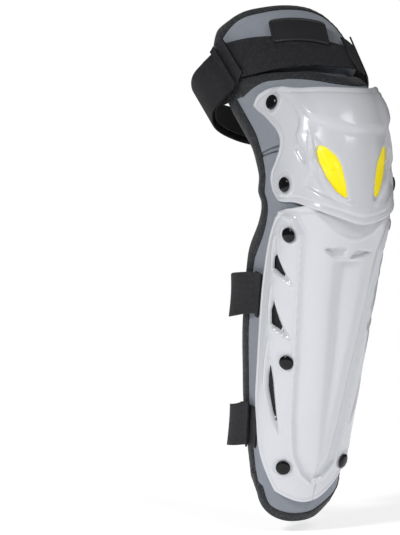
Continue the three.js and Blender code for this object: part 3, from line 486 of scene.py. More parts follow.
def tape_round(name, loop, top_at, bottom_at, width=TAPE_WIDTH):
    """A folded tape: a C-shaped profile, given as way in from the outline and height, carried round it."""
    flat_line = flat_map(loop[:, 0], loop[:, 1])
    way = np.roll(flat_line, -1, axis=0) - np.roll(flat_line, 1, axis=0)
    way /= np.linalg.norm(way, axis=1)[:, None]
    inward = np.stack([-way[:, 1], way[:, 0]], -1)
    ways_in = np.array([width, 0.93 * width, 0.6 * width, 0.3 * width, 0.1 * width])
    middle = lambda t, u, a: (top_at(t, u, a) + bottom_at(t, u, a)) / 2
    skin = TAPE_GAP + TAPE_STUFF
    profile = [(ways_in[0], top_at, TAPE_GAP + 0.3), *((a, top_at, skin) for a in ways_in[1:]),
               (-0.55, top_at, 0.0), (-0.95, middle, 0.0), (-0.55, bottom_at, 0.0),
               *((a, bottom_at, -skin) for a in ways_in[:0:-1]), (ways_in[0], bottom_at, -TAPE_GAP - 0.3),
               (ways_in[0], bottom_at, -TAPE_GAP), *((a, bottom_at, -TAPE_GAP) for a in ways_in[:0:-1]),
               (-0.1, middle, 0.0), *((a, top_at, TAPE_GAP) for a in ways_in[1:][::-1]),
               (ways_in[0], top_at, TAPE_GAP)]
    length = np.concatenate([[0], np.cumsum(np.linalg.norm(np.diff(flat_line, axis=0), axis=1))])
    pucker = 0.12 * np.sin(length * 0.9) + 0.1 * np.sin(length * 0.37 + 1)
    layers = []
    spread = 1 + 0.9 * ramp(np.abs(loop[:, 1]), 55, 95)
    for a, height_at, shift in profile:
        a = a * spread
        per_degree = np.where(np.abs(loop[:, 1]) < 90, np.radians(leg_width(loop[:, 0])), math.radians(SIDE_DEPTH))
        t = loop[:, 0] + a * inward[:, 1]
        u = loop[:, 1] + a * inward[:, 0] / per_degree
        swell = pucker * (1 if abs(shift) > TAPE_GAP else 0) * np.sign(shift)
        layers.append(on_leg(t, u, height_at(t, u, np.maximum(a, 0)) + shift + swell))
    points = np.stack(layers, 1)
    points = np.concatenate([points, points[:1]])
    points = np.concatenate([points, points[:, :1]], 1)
    rows, columns = points.shape[:2]
    across = np.concatenate([[0], np.cumsum([math.dist((p[0], p[2]), (q[0], q[2])) for p, q in zip(profile, profile[1:])])])
    around = np.append(length, length[-1] + 1)
    uv = np.stack(np.broadcast_arrays(np.append(across, across[-1] + 1)[None], around[:, None]), -1)
    tape = make_mesh(name, points, grid_faces(rows, columns, flip=True), uv)
    weld = tape.modifiers.new("join", "WELD")
    weld.merge_threshold = 0.00002
    return tape


def pad_top(t, u, a):
    return PAD_THICKNESS - 0.1 - 3.4 * (1 - ramp(a, 0, 15)) ** 2


def pad_bottom(t, u, a):
    return 0.4 + 2.2 * (1 - ramp(a, 0, 15)) ** 2


binding = Finish("charcoal_tape", Specular_IOR_Level=0.35, Sheen_Weight=0.15, Sheen_Roughness=0.4)
cloth = cloth_uv(binding)
weave = binding.node("ShaderNodeTexWave", {"bands_direction": "DIAGONAL"},
                     {"Vector": cloth, "Scale": 4.5, "Distortion": 2.0, "Detail": 2.0})
flecks = binding.noise(420, 2.0)
tone = binding.blend(binding.smooth_step(flecks, 0.45, 0.75), (0.016, 0.017, 0.02, 1), (0.06, 0.062, 0.07, 1))
binding.set(binding.shader, {"Base Color": tone, "Roughness": flecks * 0.2 + 0.6,
                             "Normal": binding.relief(weave * 0.6 + flecks * 0.4, 0.0003, 0.6)})
pad_tape = tape_round("knee_pad_binding", pad_loop, pad_top, pad_bottom)
dress(pad_tape, binding, "body_pad_binding")

# Seam beside the knee: two rows of zigzag stitches in dark thread on each side, sewn through the pad.
THREAD, STITCH = 0.24, 2.4


def stitches(name, line, offset):
    """Short bars set zigzag along a flat line: each is a thin six-sided lozenge on the pad's surface."""
    line = np.asarray(line, float)
    lengths = np.linalg.norm(np.diff(line, axis=0), axis=1)
    ends = np.concatenate([[0], np.cumsum(lengths)])
    at = np.arange(1.0, ends[-1] - 4, STITCH * 0.75)
    spot = np.stack([np.interp(at, ends, line[:, k]) for k in (0, 1)], -1)
    way = np.stack([np.gradient(np.interp(at, ends, line[:, k])) for k in (0, 1)], -1)
    way /= np.linalg.norm(way, axis=1)[:, None]
    side = np.stack([-way[:, 1], way[:, 0]], -1)
    slant = np.where(np.arange(len(at)) % 2, 0.45, -0.45)[:, None]
    bar = side + way * slant
    share = np.linspace(-0.5, 0.5, 5)
    across = np.cross(np.append(bar, 0 * at[:, None], 1), (0, 0, 1))[:, :2]
    across /= np.linalg.norm(across, axis=1)[:, None]
    angle = np.radians(np.arange(6) * 60)
    thick = THREAD * np.array([0.35, 0.9, 1, 0.9, 0.35])
    p = (spot[:, None, None] + side[:, None, None] * offset + bar[:, None, None] * share[None, :, None, None] * STITCH
         + across[:, None, None] * (thick[:, None] * np.cos(angle))[None, ..., None])
    h = thick[:, None] * np.sin(angle) + 0.25 * (1 - (2 * share[:, None]) ** 2)
    t = p[..., 1]
    width = leg_width(t)
    u = np.where(np.abs(p[..., 0]) < math.pi / 2 * width, np.degrees(p[..., 0] / width),
                 np.sign(p[..., 0]) * (90 + np.degrees((np.abs(p[..., 0]) - math.pi / 2 * width) / SIDE_DEPTH)))
    d, _ = edge_distance(flat_map(t, u), pad_line)
    level = pad_top(t, u, d) + sum(seam_dip(flat_map(t, u), seam, 3.0, 1.9) for seam in knee_seams)
    points = on_leg(t, u, level + 0.1 + h)
    ring = np.arange(6)
    quads = [np.stack([ring + 6 * k, np.roll(ring, -1) + 6 * k, np.roll(ring, -1) + 6 * k + 6, ring + 6 * k + 6], -1)
             for k in range(4)]
    one = np.vstack(quads)
    faces = (one[None] + 30 * np.arange(len(at))[:, None, None]).reshape(-1, 4)
    made = make_mesh(name, points, faces)
    return made


thread = Finish("dark_thread", Base_Color=(0.03, 0.032, 0.038, 1), Specular_IOR_Level=0.4)
thread.set(thread.shader, {"Roughness": thread.noise(900) * 0.3 + 0.45})
for side, line in zip(("inner", "outer"), knee_seams):
    for row, offset in (("upper", 2.3), ("lower", -2.3)):
        row_piece = stitches(f"seam_{side}_{row}", line, offset)
        row_piece.data.materials.append(thread.material)
        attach(row_piece, "root")

# Thigh flap: a second pad of the same fabric, sewn behind the arch of the body pad, with its own tape.
FLAP_THICKNESS, FLAP_LIFT, UNDERLAP = 6.5, 10.5, 1.4
FLAP_EDGES = {
    "lower": [[0.5, -96], [0.37, -70], [0.24, -40], [0.2, 0], [0.24, 35], [0.34, 62], [0.42, 78]],
    "upper": [[0.97, -107], [1, -92], [0.97, -69], [0.95, -49], [0.916, -29], [0.895, -8], [0.88, 13],
              [0.85, 32], [0.785, 52], [0.69, 74]],
    "inner": [[0.5, -96], [0.68, -106], [0.84, -111], [0.97, -107]],
    "outer": [[0.42, 78], [0.5, 84], [0.6, 83], [0.69, 74]]}


def flap_rest(t, u):
    """Height of the flap's underside: deep under the arch, rising to the leg's surface past it."""
    arch = np.array(PAD_EDGES["upper"], float)[:, ::-1]
    arch_top = PAD_RISE * read_table(arch, 1, np.clip(u, arch[0, 0], arch[-1, 0]))
    return -FLAP_THICKNESS - 2 * TAPE_WRAP - UNDERLAP + FLAP_LIFT * ramp(t - arch_top, 5, 26)


def flap_top(t, u, a):
    return flap_rest(t, u) + FLAP_THICKNESS - 2.2 * (1 - ramp(a, 0, 13)) ** 2


def flap_bottom(t, u, a):
    return flap_rest(t, u) + 0.2 + 1.3 * (1 - ramp(a, 0, 13)) ** 2


flap_edges = to_reach(FLAP_EDGES, FLAP_REACH, FLAP_REACH)
flap_loop = loop_of(flap_edges, (150, 60))
patch = fill_patch(flap_edges, 110, 66)
t, u = patch[..., 0], patch[..., 1]
flat = flat_map(t, u)
reach_in, _ = edge_distance(flat, flat_map(flap_loop[:, 0], flap_loop[:, 1]))
soft = creases(flat * 1.4, 0.5) * ramp(reach_in, 5, 20)
thigh_flap = closed_sheet("knee_thigh_flap", on_leg(t, u, flap_top(t, u, reach_in) + soft),
                          on_leg(t, u, flap_bottom(t, u, reach_in)), flat)
dress(thigh_flap, knit, "thigh_flap")
flap_tape = tape_round("knee_thigh_flap_binding", flap_loop, flap_top, flap_bottom)
dress(flap_tape, binding, "thigh_flap_binding")

# Front band: wide black elastic sewn flat across the flap, with a narrow woven border along each edge.
WEBBING = 1.8
FRONT_BAND_EDGES = {
    "lower": [[0.6, -88], [0.5, -66], [0.42, -42], [0.36, -18], [0.34, 6], [0.37, 30], [0.45, 54], [0.52, 70]],
    "upper": [[0.88, -88], [0.78, -66], [0.68, -42], [0.59, -18], [0.55, 6], [0.56, 30], [0.62, 54], [0.69, 70]],
    "inner": [[0.6, -88], [0.88, -88]],
    "outer": [[0.52, 70], [0.69, 70]]}


def over_flap(t, u):
    return np.maximum(flap_rest(t, u) + FLAP_THICKNESS, PAD_THICKNESS - 1) + TAPE_WRAP + CLEARANCE


elastic = Finish("black_elastic", Specular_IOR_Level=0.4)
cloth = cloth_uv(elastic)
cords = elastic.node("ShaderNodeTexWave", {"bands_direction": "X"},
                     {"Vector": cloth, "Scale": 2.6, "Distortion": 0.6, "Detail": 1.0})
picks = elastic.node("ShaderNodeTexWave", {"bands_direction": "Y"},
                     {"Vector": cloth, "Scale": 6.5, "Distortion": 0.3, "Detail": 1.0})
flecks = elastic.noise(300, 3.0)
tone = elastic.blend(elastic.smooth_step(flecks * 0.6 + cords * 0.4, 0.3, 0.8), (0.006, 0.006, 0.007, 1), (0.055, 0.056, 0.064, 1))
elastic.set(elastic.shader, {"Base Color": tone, "Roughness": flecks * 0.25 + 0.5,
                             "Normal": elastic.relief(cords * 0.7 + picks * 0.3 + flecks * 0.2, 0.0008, 1.0)})


def sheet_on_leg(name, edges, counts, bottom_at, thickness, edge_round=0.7):
    """A thin closed piece that follows the leg, its top rounded off towards the outline."""
    patch = fill_patch(edges, *counts, crowding=0.75)
    t, u = patch[..., 0], patch[..., 1]
    flat = flat_map(t, u)
    loop = loop_of(edges, (80, 40))
    a, _ = edge_distance(flat, flat_map(loop[:, 0], loop[:, 1]))
    lip = edge_round - np.sqrt(np.maximum(edge_round**2 - np.maximum(edge_round - a, 0) ** 2, 0))
    bottom = bottom_at(t, u)
    return closed_sheet(name, on_leg(t, u, bottom + thickness - lip), on_leg(t, u, bottom), flat)


band_edges = to_reach(FRONT_BAND_EDGES, FLAP_REACH, FLAP_REACH)
front_band = sheet_on_leg("thigh_elastic_front", band_edges, (120, 34), over_flap, WEBBING)
dress(front_band, elastic, "thigh_front_band")

# Keeper: the front band's outer end is folded over and sewn down as a raised strip.
KEEPER_EDGES = {
    "lower": [[0.36, 30], [0.365, 38], [0.38, 46]], "upper": [[0.62, 28], [0.62, 38], [0.615, 48]],
    "inner": [[0.36, 30], [0.62, 28]], "outer": [[0.38, 46], [0.615, 48]]}
keeper = sheet_on_leg("thigh_band_keeper", to_reach(KEEPER_EDGES, FLAP_REACH, FLAP_REACH), (14, 40),
                      lambda t, u: over_flap(t, u) + WEBBING + 0.15, 2.2)
keeper.data.materials.append(elastic.material)
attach(keeper, "root")

# Rubber patch: a moulded plate with rounded corners and a raised rim, sewn on the front band, left bare.
LABEL_EDGES = {
    "lower": [[0.6, -39], [0.55, -16], [0.5, 8]], "upper": [[0.765, -33], [0.73, -8], [0.7, 15]],
    "inner": [[0.6, -39], [0.765, -33]], "outer": [[0.5, 8], [0.7, 15]]}
LABEL_THICKNESS, RIM_WIDTH, RIM_RISE, CORNER = 2.5, 2.6, 0.9, 4.5
label_edges = to_reach(LABEL_EDGES, FLAP_REACH, FLAP_REACH)
patch = fill_patch(label_edges, 90, 56, crowding=0.5)
t, u = patch[..., 0], patch[..., 1]
flat = flat_map(t, u)
r, s = np.meshgrid(even_steps(90, 0.5), even_steps(56, 0.5))
size = np.array([np.linalg.norm(flat[28, -1] - flat[28, 0]), np.linalg.norm(flat[-1, 45] - flat[0, 45])])
x, y = (r - 0.5) * size[0], (s - 0.5) * size[1]
# Squares are drawn in to a rounded rectangle by pulling each point towards the corner's circle
over_x, over_y = np.maximum(np.abs(x) - size[0] / 2 + CORNER, 0), np.maximum(np.abs(y) - size[1] / 2 + CORNER, 0)
longest = np.maximum(np.maximum(over_x, over_y), 1e-6)
pull = np.where(np.hypot(over_x, over_y) > 0, longest / np.maximum(np.hypot(over_x, over_y), 1e-6), 1)
x = np.sign(x) * (np.minimum(np.abs(x), size[0] / 2 - CORNER) + over_x * pull)
y = np.sign(y) * (np.minimum(np.abs(y), size[1] / 2 - CORNER) + over_y * pull)
t = patch[..., 0] + y - (s - 0.5) * size[1]
u = patch[..., 1] + np.degrees((x - (r - 0.5) * size[0]) / leg_width(patch[..., 0]))
edge_x, edge_y = size[0] / 2 - np.abs(x), size[1] / 2 - np.abs(y)
inset = np.minimum(np.minimum(edge_x, edge_y),
                   CORNER - np.hypot(np.maximum(CORNER - edge_x, 0), np.maximum(CORNER - edge_y, 0)))
rim = RIM_RISE * (1 - ramp(inset, RIM_WIDTH - 0.6, RIM_WIDTH + 0.4))
edge_drop = 0.9 * (1 - ramp(inset, 0, 0.9))
seat = over_flap(t, u) + WEBBING + CLEARANCE
rubber = Finish("black_rubber", Roughness=0.45)
grain = rubber.noise(700, 3.0)
rubber.set(rubber.shader, {"Base Color": rubber.blend(rubber.noise(40), (0.012, 0.012, 0.014, 1), (0.022, 0.022, 0.025, 1)),
                           "Roughness": grain * 0.15 + 0.4, "Normal": rubber.relief(grain, 0.0001, 0.5)})
label = closed_sheet("rubber_patch", on_leg(t, u, seat + LABEL_THICKNESS - RIM_RISE + rim - edge_drop),
                     on_leg(t, u, seat), flat)
dress(label, rubber, "label_patch")

# Knee cup: one piece of glossy light grey plastic moulded over the kneecap, held by four rivets on its
# arms. A brow crosses it, two slanted vents are let into its front and a thin lip runs round its edge.
SHELL, CUP_STAND, CUP_DOME, CUP_SKIRT = 2.8, 9.4, 6.5, 10.0
CUP_RISE, CUP_DROP = 80.0, 45.0
BROW_RISE, ARM_STEP, RECESS, FACET, CREST = 5.0, 2.6, 2.8, 3.2, 1.3
CUP_EDGES = {
    "inner": [[-0.6, -101], [-0.33, -104], [-0.09, -101], [0.075, -90], [0.15, -82], [0.25, -77],
              [0.36, -78], [0.56, -85], [0.81, -92], [0.97, -94]],
    "lower": [[-0.6, -101], [-0.78, -92], [-0.79, -80], [-0.76, -63], [-0.8, -42], [-0.89, -20],
              [-0.98, 0], [-0.93, 20], [-0.84, 36], [-0.73, 52], [-0.69, 70], [-0.55, 83]],
    "outer": [[-0.55, 83], [-0.27, 86], [-0.02, 80], [0.12, 68], [0.22, 62], [0.3, 63], [0.47, 68],
              [0.66, 75], [0.75, 76]],
    "upper": [[0.97, -94], [0.97, -82], [0.875, -66], [0.75, -54], [0.65, -43], [0.55, -20], [0.51, 0],
              [0.54, 20], [0.64, 40], [0.74, 52], [0.79, 66], [0.75, 76]]}
# Marks below are places on the leg: millimetres up it from the knee, degrees round it
CUP_RIVETS = [(55.2, -70), (-19.8, -76), (48, 57), (-19.8, 67)]
CUP_VENTS = [
    [[6, -36], [4, -30], [-3, -21], [-9, -17], [-20, -14], [-28.5, -12.5], [-28, -16], [-24, -23],
     [-16, -30.5], [-5, -37.5], [2, -39]],
    [[6, 37], [4, 39], [-2, 38], [-12, 31], [-23, 21], [-29, 15], [-27, 11], [-16, 15],
     [-7, 19.5], [1, 27]]]
VENT_RIDGES = [[[16, -41], [8, -43], [-4, -42.5], [-17, -33], [-28, -18], [-31, -11]],
               [[16, 40], [8, 43], [-4, 42.5], [-17, 35], [-28, 21], [-32, 14]]]
VENT_BACKS = [[[-29, -10.5], [-20, -13], [-9, -16], [-3, -20], [4, -29], [8, -34], [14, -39]],
              [[-30, 9], [-22, 12], [-16, 14], [-7, 18.5], [1, 26], [8, 33], [14, 39]]]
CUP_FACETS = [[[-10, -43], [-22, -32], [-33, -17], [-28, -34], [-21, -53], [-14, -48]],
              [[11, -57], [3, -51], [-8, -49.5], [-3, -56], [6, -61]],
              [[-10, 44], [-22, 35], [-34, 19], [-28, 36], [-21, 54], [-14, 49]],
              [[11, 53], [3, 49], [-8, 48], [-3, 53], [6, 57]]]
ARM_LINES = [[[68, -66], [57, -60], [49, -55], [37, -50], [27, -48], [22, -50], [17, -55], [11, -55],
              [0, -49], [-9, -46]],
             [[62, 54], [52, 49], [44, 46], [33, 44], [25, 43], [20, 45], [15, 49], [10, 49], [0, 46], [-9, 44]]]
BROW_LIP = [[-64, 84], [-52, 60], [-45, 42], [-42, 34], [-38, 28], [-31, 24], [-18, 20], [-7, 16],
            [7, 15], [20, 16], [32, 18], [42, 26], [50, 36], [60, 54], [72, 84]]
BROW_FOOT = [[-64, 74], [-52, 50], [-45, 34], [-40, 24], [-37, 20], [-28, 15], [-15, 10], [2, 8],
             [19, 9], [32, 11], [44, 18], [52, 29], [60, 44], [72, 72]]


def laid(rows):
    """Rows of place up the leg and angle, laid out flat."""
    return flat_map(*np.array(rows, float).T)


def even_points(rows, count):
    """Points at even shares of the way round a closed line of marks, its corners kept sharp."""
    rows = np.array(rows + rows[:1], float)
    share = np.linspace(0, len(rows) - 1, count + 1)[:-1]
    return np.stack([np.interp(share, np.arange(len(rows)), rows[:, k]) for k in (0, 1)], -1)


def line_side(flat, line):
    """Distance from an open flat line, positive on its left."""
    nearest, side = np.full(flat.shape[:-1], 1e9), np.ones(flat.shape[:-1])
    for a, b in zip(line, line[1:]):
        way = b - a
        share = np.clip(((flat - a) @ way) / (way @ way), 0, 1)
        gap = flat - a - share[..., None] * way
        distance = np.linalg.norm(gap, axis=-1)
        closer = distance < nearest - 1e-9
        nearest = np.where(closer, distance, nearest)
        side = np.where(closer, np.where(way[0] * gap[..., 1] >= way[1] * gap[..., 0], 1, -1), side)
    return nearest * side


def sunk(flat, rows, depth, edge):
    """A hollow inside the closed line of marks, that deep once it is an edge's width inside it."""
    distance, inside = edge_distance(flat, laid(rows))
    return -depth * ramp(distance, 0, edge) * inside


def rivet_seats(flat, places):
    """A raised ring round every rivet's cap."""
    rise = 0
    for t, u in places:
        away = np.linalg.norm(flat - flat_map(np.array(t), np.array(float(u))), axis=-1)
        rise = rise + 0.9 * bump(away, 9.2, 1.0)
    return rise


def open_vents(t, u, vents):
    """Draws grid points just inside a vent out to its line. Gives the places and the squares that stay."""
    flat = flat_map(t, u)
    stay = np.ones((t.shape[0] - 1, t.shape[1] - 1), bool)
    lines = []
    for rows in vents:
        line = laid(even_points(rows, 90))
        lines.append(line)
        _, inside = edge_distance(flat, line)
        whole = inside[:-1, :-1] & inside[:-1, 1:] & inside[1:, 1:] & inside[1:, :-1]
        stay &= ~whole
        nearest, spot = np.full(inside.shape, 1e9), flat.copy()
        for a, b in zip(line, np.roll(line, -1, axis=0)):
            way = b - a
            share = np.clip(((flat - a) @ way) / max(way @ way, 1e-9), 0, 1)
            on_line = a + share[..., None] * way
            distance = np.linalg.norm(flat - on_line, axis=-1)
            closer = distance < nearest
            nearest = np.where(closer, distance, nearest)
            spot = np.where(closer[..., None], on_line, spot)
        flat = np.where(inside[..., None], spot, flat)
    moved = np.any(flat != flat_map(t, u), axis=-1)
    t = np.where(moved, flat[..., 1], t)
    u = np.where(moved, np.degrees(flat[..., 0] / leg_width(flat[..., 1])), u)
    return t, u, stay, lines


def pierced_sheet(name, top, bottom, stay):
    """A closed piece between two grids of points, of the squares that stay, walled along every border."""
    rows, columns = top.shape[:2]
    count = rows * columns
    quads = grid_faces(rows, columns)[stay.ravel()]
    edges = np.concatenate([quads[:, [i, (i + 1) % 4]] for i in range(4)])
    border = edges[~np.isin(edges[:, 1] * count + edges[:, 0], edges[:, 0] * count + edges[:, 1])]
    a, b = border.T
    faces = np.vstack([quads, quads[:, ::-1] + count, np.stack([b, a, a + count, b + count], -1)])
    used = np.unique(faces)
    number = np.zeros(2 * count, int)
    number[used] = np.arange(len(used))
    made = make_mesh(name, np.concatenate([top.reshape(-1, 3), bottom.reshape(-1, 3)])[used], number[faces])
    made.data.set_sharp_from_angle(angle=math.radians(50))
    return made


def rounded_lip(distance, radius):
    """How far a surface drops at a border whose edge is rounded to that radius."""
    return radius - np.sqrt(np.maximum(radius ** 2 - np.maximum(radius - distance, 0) ** 2, 0))


def cup_rest(t, u):
    """Height of the cup's inside: a dome over the kneecap and a skirt over the shin plate."""
    s = t / np.where(t < 0, CUP_DROP, CUP_RISE)
    dome = CUP_DOME * bump(u, 0, 55) * (1 - ramp(s, 0.3, 1))
    return CUP_STAND + dome + CUP_SKIRT * ramp(-s, 0.1, 1) * (1 - ramp(np.abs(u), 30, 69))


shell_plastic = Finish("light_grey_plastic", Specular_IOR_Level=0.5, Coat_Roughness=0.05, IOR=1.5)
cloud = shell_plastic.noise(9, 2.0)
grain = shell_plastic.noise(650, 3.0)
swirl = shell_plastic.noise(60, 2.0)
shell_plastic.set(shell_plastic.shader, {
    "Base Color": shell_plastic.blend(cloud, (0.655, 0.67, 0.71, 1), (0.7, 0.712, 0.745, 1)),
    "Roughness": grain * 0.06 + swirl * 0.05 + 0.2, "Coat Weight": swirl * 0.2 + 0.25,
    "Normal": shell_plastic.relief(swirl, 0.00012, 0.5)})
cup_edges = to_reach(CUP_EDGES, CUP_RISE, CUP_DROP)
cup_loop = loop_of(cup_edges, (170, 120))
patch = fill_patch(cup_edges, 172, 150, crowding=0.7)
t, u, stay, vent_lines = open_vents(patch[..., 0], patch[..., 1], CUP_VENTS)
flat = flat_map(t, u)
reach_in, _ = edge_distance(flat, flat_map(cup_loop[:, 0], cup_loop[:, 1]))
rest = cup_rest(t, u)
lip_line, foot_line = (read_table(rows, 1, u) for rows in (BROW_LIP, BROW_FOOT))
brow = BROW_RISE * ramp(t, foot_line, lip_line) * (1 - ramp(np.abs(u), 50, 66)) * (1 - 0.75 * ramp(t, 30, 56))
top = rest + SHELL + brow + rivet_seats(flat, CUP_RIVETS) - 0.8 * bump(reach_in, 4.2, 1.2)
for rows, way in zip(ARM_LINES, (1, -1)):
    side = line_side(flat, laid(rows)) * way
    ends = ramp(t, -12, -2) * (1 - ramp(t, 58, 68))
    top = top + ARM_STEP * ends * ramp(side, -0.9, 0.9) * (1 - ramp(side, 3, 16))
for ridge, vent_back, way in zip(VENT_RIDGES, VENT_BACKS, (-1, 1)):
    line = laid(ridge)
    side = np.abs(line_side(flat, line))
    distance, inside = edge_distance(flat, laid(ridge + vent_back))
    top = top - RECESS * inside * ramp(side, 0.3, 4.5) * ramp(distance, 0, 1.6)
    top = top + CREST * bump(side, 0, 1.5) * (1 - 0.5 * inside)
for rows in CUP_FACETS:
    top = top + sunk(flat, rows, FACET, 2.4)
rest = rest + 0.6 * brow
for line in vent_lines:
    distance, _ = edge_distance(flat, line)
    top = top - rounded_lip(distance, 0.7)
top = np.maximum(top - rounded_lip(reach_in, 1.3), rest + 0.7)
knee_cup = pierced_sheet("moulded_knee_cup", on_leg(t, u, top), on_leg(t, u, rest), stay)
dress(knee_cup, shell_plastic, "knee_cup")

# Vent inserts: two leaf-shaped pieces of bright yellow plastic glued behind the cup's vents, crowned a
# little so that they fill the openings.
INSERT, INSERT_GAP, INSERT_LAP = 1.6, 0.35, 5.0
# The emission is painted light: the yellow glows a little, though it is no lamp, so that it stays bright where it lies
# in shade.
yellow = Finish("yellow_plastic", Coat_Roughness=0.15, Emission_Color=(1.0, 0.8, 0.0, 1), Emission_Strength=0.22)
cloud = yellow.noise(45, 2.0)
grain = yellow.noise(900, 2.0)
yellow.set(yellow.shader, {"Base Color": yellow.blend(cloud, (1.0, 0.8, 0.004, 1), (1.0, 0.86, 0.01, 1)),
                           "Roughness": grain * 0.1 + 0.3, "Normal": yellow.relief(grain, 0.00006, 0.5),
                           "Coat Weight": cloud * 0.2 + 0.15})
for side, rows in zip(("inner", "outer"), CUP_VENTS):
    line = laid(even_points(rows, 120))
    middle = line.mean(0)
    shares = np.linspace(0.02, 1, 26)[:, None, None]
    out = line - middle
    reach_out = 1 + INSERT_LAP / np.linalg.norm(out, axis=1)[:, None] * 0.6
    leaf = middle + out[None] * reach_out[None] * shares
    t, u = leaf[..., 1], np.degrees(leaf[..., 0] / leg_width(leaf[..., 1]))
    t, u = np.hstack([t, t[:, :1]]), np.hstack([u, u[:, :1]])
    distance, inside = edge_distance(flat_map(t, u), line)
    height = cup_rest(t, u) - INSERT_GAP + 0.9 * ramp(distance, 1.2, 5.0) * inside
    leaf_top, leaf_rest = on_leg(t, u, height), on_leg(t, u, height - INSERT)
    piece = closed_sheet("vent_leaf_" + side, leaf_top, leaf_rest, flat_map(t, u))
    weld = piece.modifiers.new("join", "WELD")
    weld.merge_threshold = 0.00002
    dress(piece, yellow, "vent_insert_" + side)

# Shin plate: one long piece of the same plastic. A raised centre panel with a chevron and a tapering
# groove runs down it, three scooped vents are let into each side, and seven rivets hold it.
PLATE_STAND, PLATE_RIDGE, PANEL_CREST, PANEL_VALLEY = 12.0, 4.5, 2.0, 2.2
SCOOP, GROOVE, CHEVRON = 3.8, 5.2, 3.6
PLATE_LENGTH, PLATE_TOP = 313.0, 32.0
PLATE_EDGES = {
    "inner": [[-0.968, -46], [-0.863, -73], [-0.805, -84], [-0.693, -96], [-0.585, -99], [-0.46, -101],
              [-0.284, -101], [-0.128, -96], [-0.064, -90]],
    "outer": [[-0.917, 41], [-0.85, 61], [-0.764, 82], [-0.652, 102], [-0.521, 118], [-0.383, 137],
              [-0.281, 150], [-0.204, 154], [-0.157, 146]],
    "lower": [[-0.968, -46], [-0.987, -29], [-1, -10], [-0.99, 8], [-0.955, 26], [-0.917, 41]],
    "upper": [[-0.064, -90], [-0.035, -80], [-0.02, -63], [-0.006, -40], [0, 0], [-0.008, 40],
              [-0.022, 55], [-0.035, 78], [-0.093, 113], [-0.157, 146]]}
PLATE_RIVETS = [(-63.3, -64), (-194.8, -50), (-307.4, -39), (-57, 78), (-94.6, 139), (-188.5, 92), (-304.3, 42)]
PANEL_LINE = [[-43, -90], [-46, -76], [-48, -62], [-60, -51], [-80, -47.5], [-102, -46], [-147, -43],
              [-200, -39], [-254, -35], [-294, -28], [-314, -16], [-324, -3], [-318, 11], [-301, 25],
              [-262, 31], [-199, 36], [-115, 44], [-78, 49], [-58, 60], [-48, 76], [-58, 100], [-20, 100],
              [-10, 0], [-20, -100]]
COLLAR_LINE = [[-34, -52], [-38, -42], [-47, -27], [-55, -13], [-59, -4], [-59, 4], [-55, 13], [-47, 27],
               [-38, 42], [-34, 52]]
CHEVRON_HOLLOWS = [[[-69, -28], [-66, -6], [-72, -4.5], [-79, -5], [-78, -16]],
                   [[-69, 6], [-73, 24], [-78, 12], [-79, -2]]]
GROOVE_ROWS = np.array([[-300, 0, 3, 6], [-240, -5, 2, 10], [-183, -9, 0, 12], [-119, -14, -3.5, 13],
                        [-82, -16, -4.5, 14], [-70, -16.5, -4.5, 14.5]])
SCOOPS = [
    ([[-70, -82], [-78, -80.5], [-86, -78], [-98, -67], [-114, -50.5]], [[-115, -52], [-105, -84], [-90, -86.5], [-74, -86]],
     [[-81, -82], [-92, -85], [-103.5, -84], [-107, -72], [-111, -59], [-103, -68], [-94, -76.5]]),
    ([[-121, -80], [-130, -77.5], [-139, -72.5], [-156, -60], [-171, -45]], [[-172, -46.5], [-162, -79], [-146, -82.5], [-126, -82]],
     [[-132, -79.5], [-147, -81.5], [-161, -79], [-164, -66], [-168.5, -54], [-159, -63], [-147, -73]]),
    ([[-178, -78], [-188, -74.5], [-209, -65], [-245, -55.5], [-274, -47]], [[-272, -51], [-252, -66], [-226, -79.5], [-200, -81]],
     [[-201, -77], [-216, -78], [-227, -76.5], [-250, -64], [-267, -52.5], [-245, -59.5], [-219, -68]])]
OUTER_SCOOPS = [(-72.7, -72.7, 0.86, 0.95), (-122, -117, 0.95, 0.92), (-180, -173, 0.97, 0.9)]
WING_PANEL = [[-84, 108], [-82, 132], [-104, 137], [-140, 131], [-166, 122], [-171, 98], [-150, 92], [-118, 96]]


def mirrored(rows, start, outer_start, length, narrow):
    """Marks of the inner side carried over to the outer side, shortened and narrowed."""
    return [[outer_start + (t - start) * length, -u * narrow] for t, u in rows]


def plate_rest(t, u):
    """Height of the plate's inside, which stands off the pad and rises a little under the centre panel."""
    half_panel = read_table([[-325, 8], [-294, 27], [-254, 33], [-147, 42], [-32, 47]], 1, t)
    return PLATE_STAND + 0.85 * PLATE_RIDGE * ramp(half_panel - np.abs(u), -2, 6)


sides = SCOOPS + [tuple(mirrored(rows, *move) for rows in scoop) for scoop, move in zip(SCOOPS, OUTER_SCOOPS)]
plate_edges = {side: [[s * PLATE_LENGTH - PLATE_TOP, u] for s, u in rows] for side, rows in PLATE_EDGES.items()}
plate_loop = loop_of(plate_edges, (170, 200))
patch = fill_patch(plate_edges, 180, 222, crowding=0.7)
t, u, stay, vent_lines = open_vents(patch[..., 0], patch[..., 1], [opening for _, _, opening in sides])
flat = flat_map(t, u)
reach_in, _ = edge_distance(flat, flat_map(plate_loop[:, 0], plate_loop[:, 1]))
rest = plate_rest(t, u)
distance, inside = edge_distance(flat, laid(PANEL_LINE))
into_panel = np.where(inside, distance, -distance)
outer_slope = 1 - 0.5 * ramp(u, 15, 60)
top = PLATE_STAND + SHELL + PANEL_CREST * bump(into_panel, -0.6, 1.7) - PANEL_VALLEY * bump(into_panel, 4.0, 2.6)
top += PLATE_RIDGE * ramp(into_panel, 4.5, 20) * outer_slope
above_collar = line_side(flat, laid(COLLAR_LINE))
top += 0.9 * bump(above_collar, 0, 2.2) - 2.4 * ramp(above_collar, 0, 16) * (1 - ramp(np.abs(u), 44, 60))
left_edge, valley, right_edge = (read_table(GROOVE_ROWS, k, t) for k in (1, 2, 3))
cut_in = np.clip(np.minimum((u - left_edge) / (valley - left_edge), (right_edge - u) / (right_edge - valley)), 0, 1)
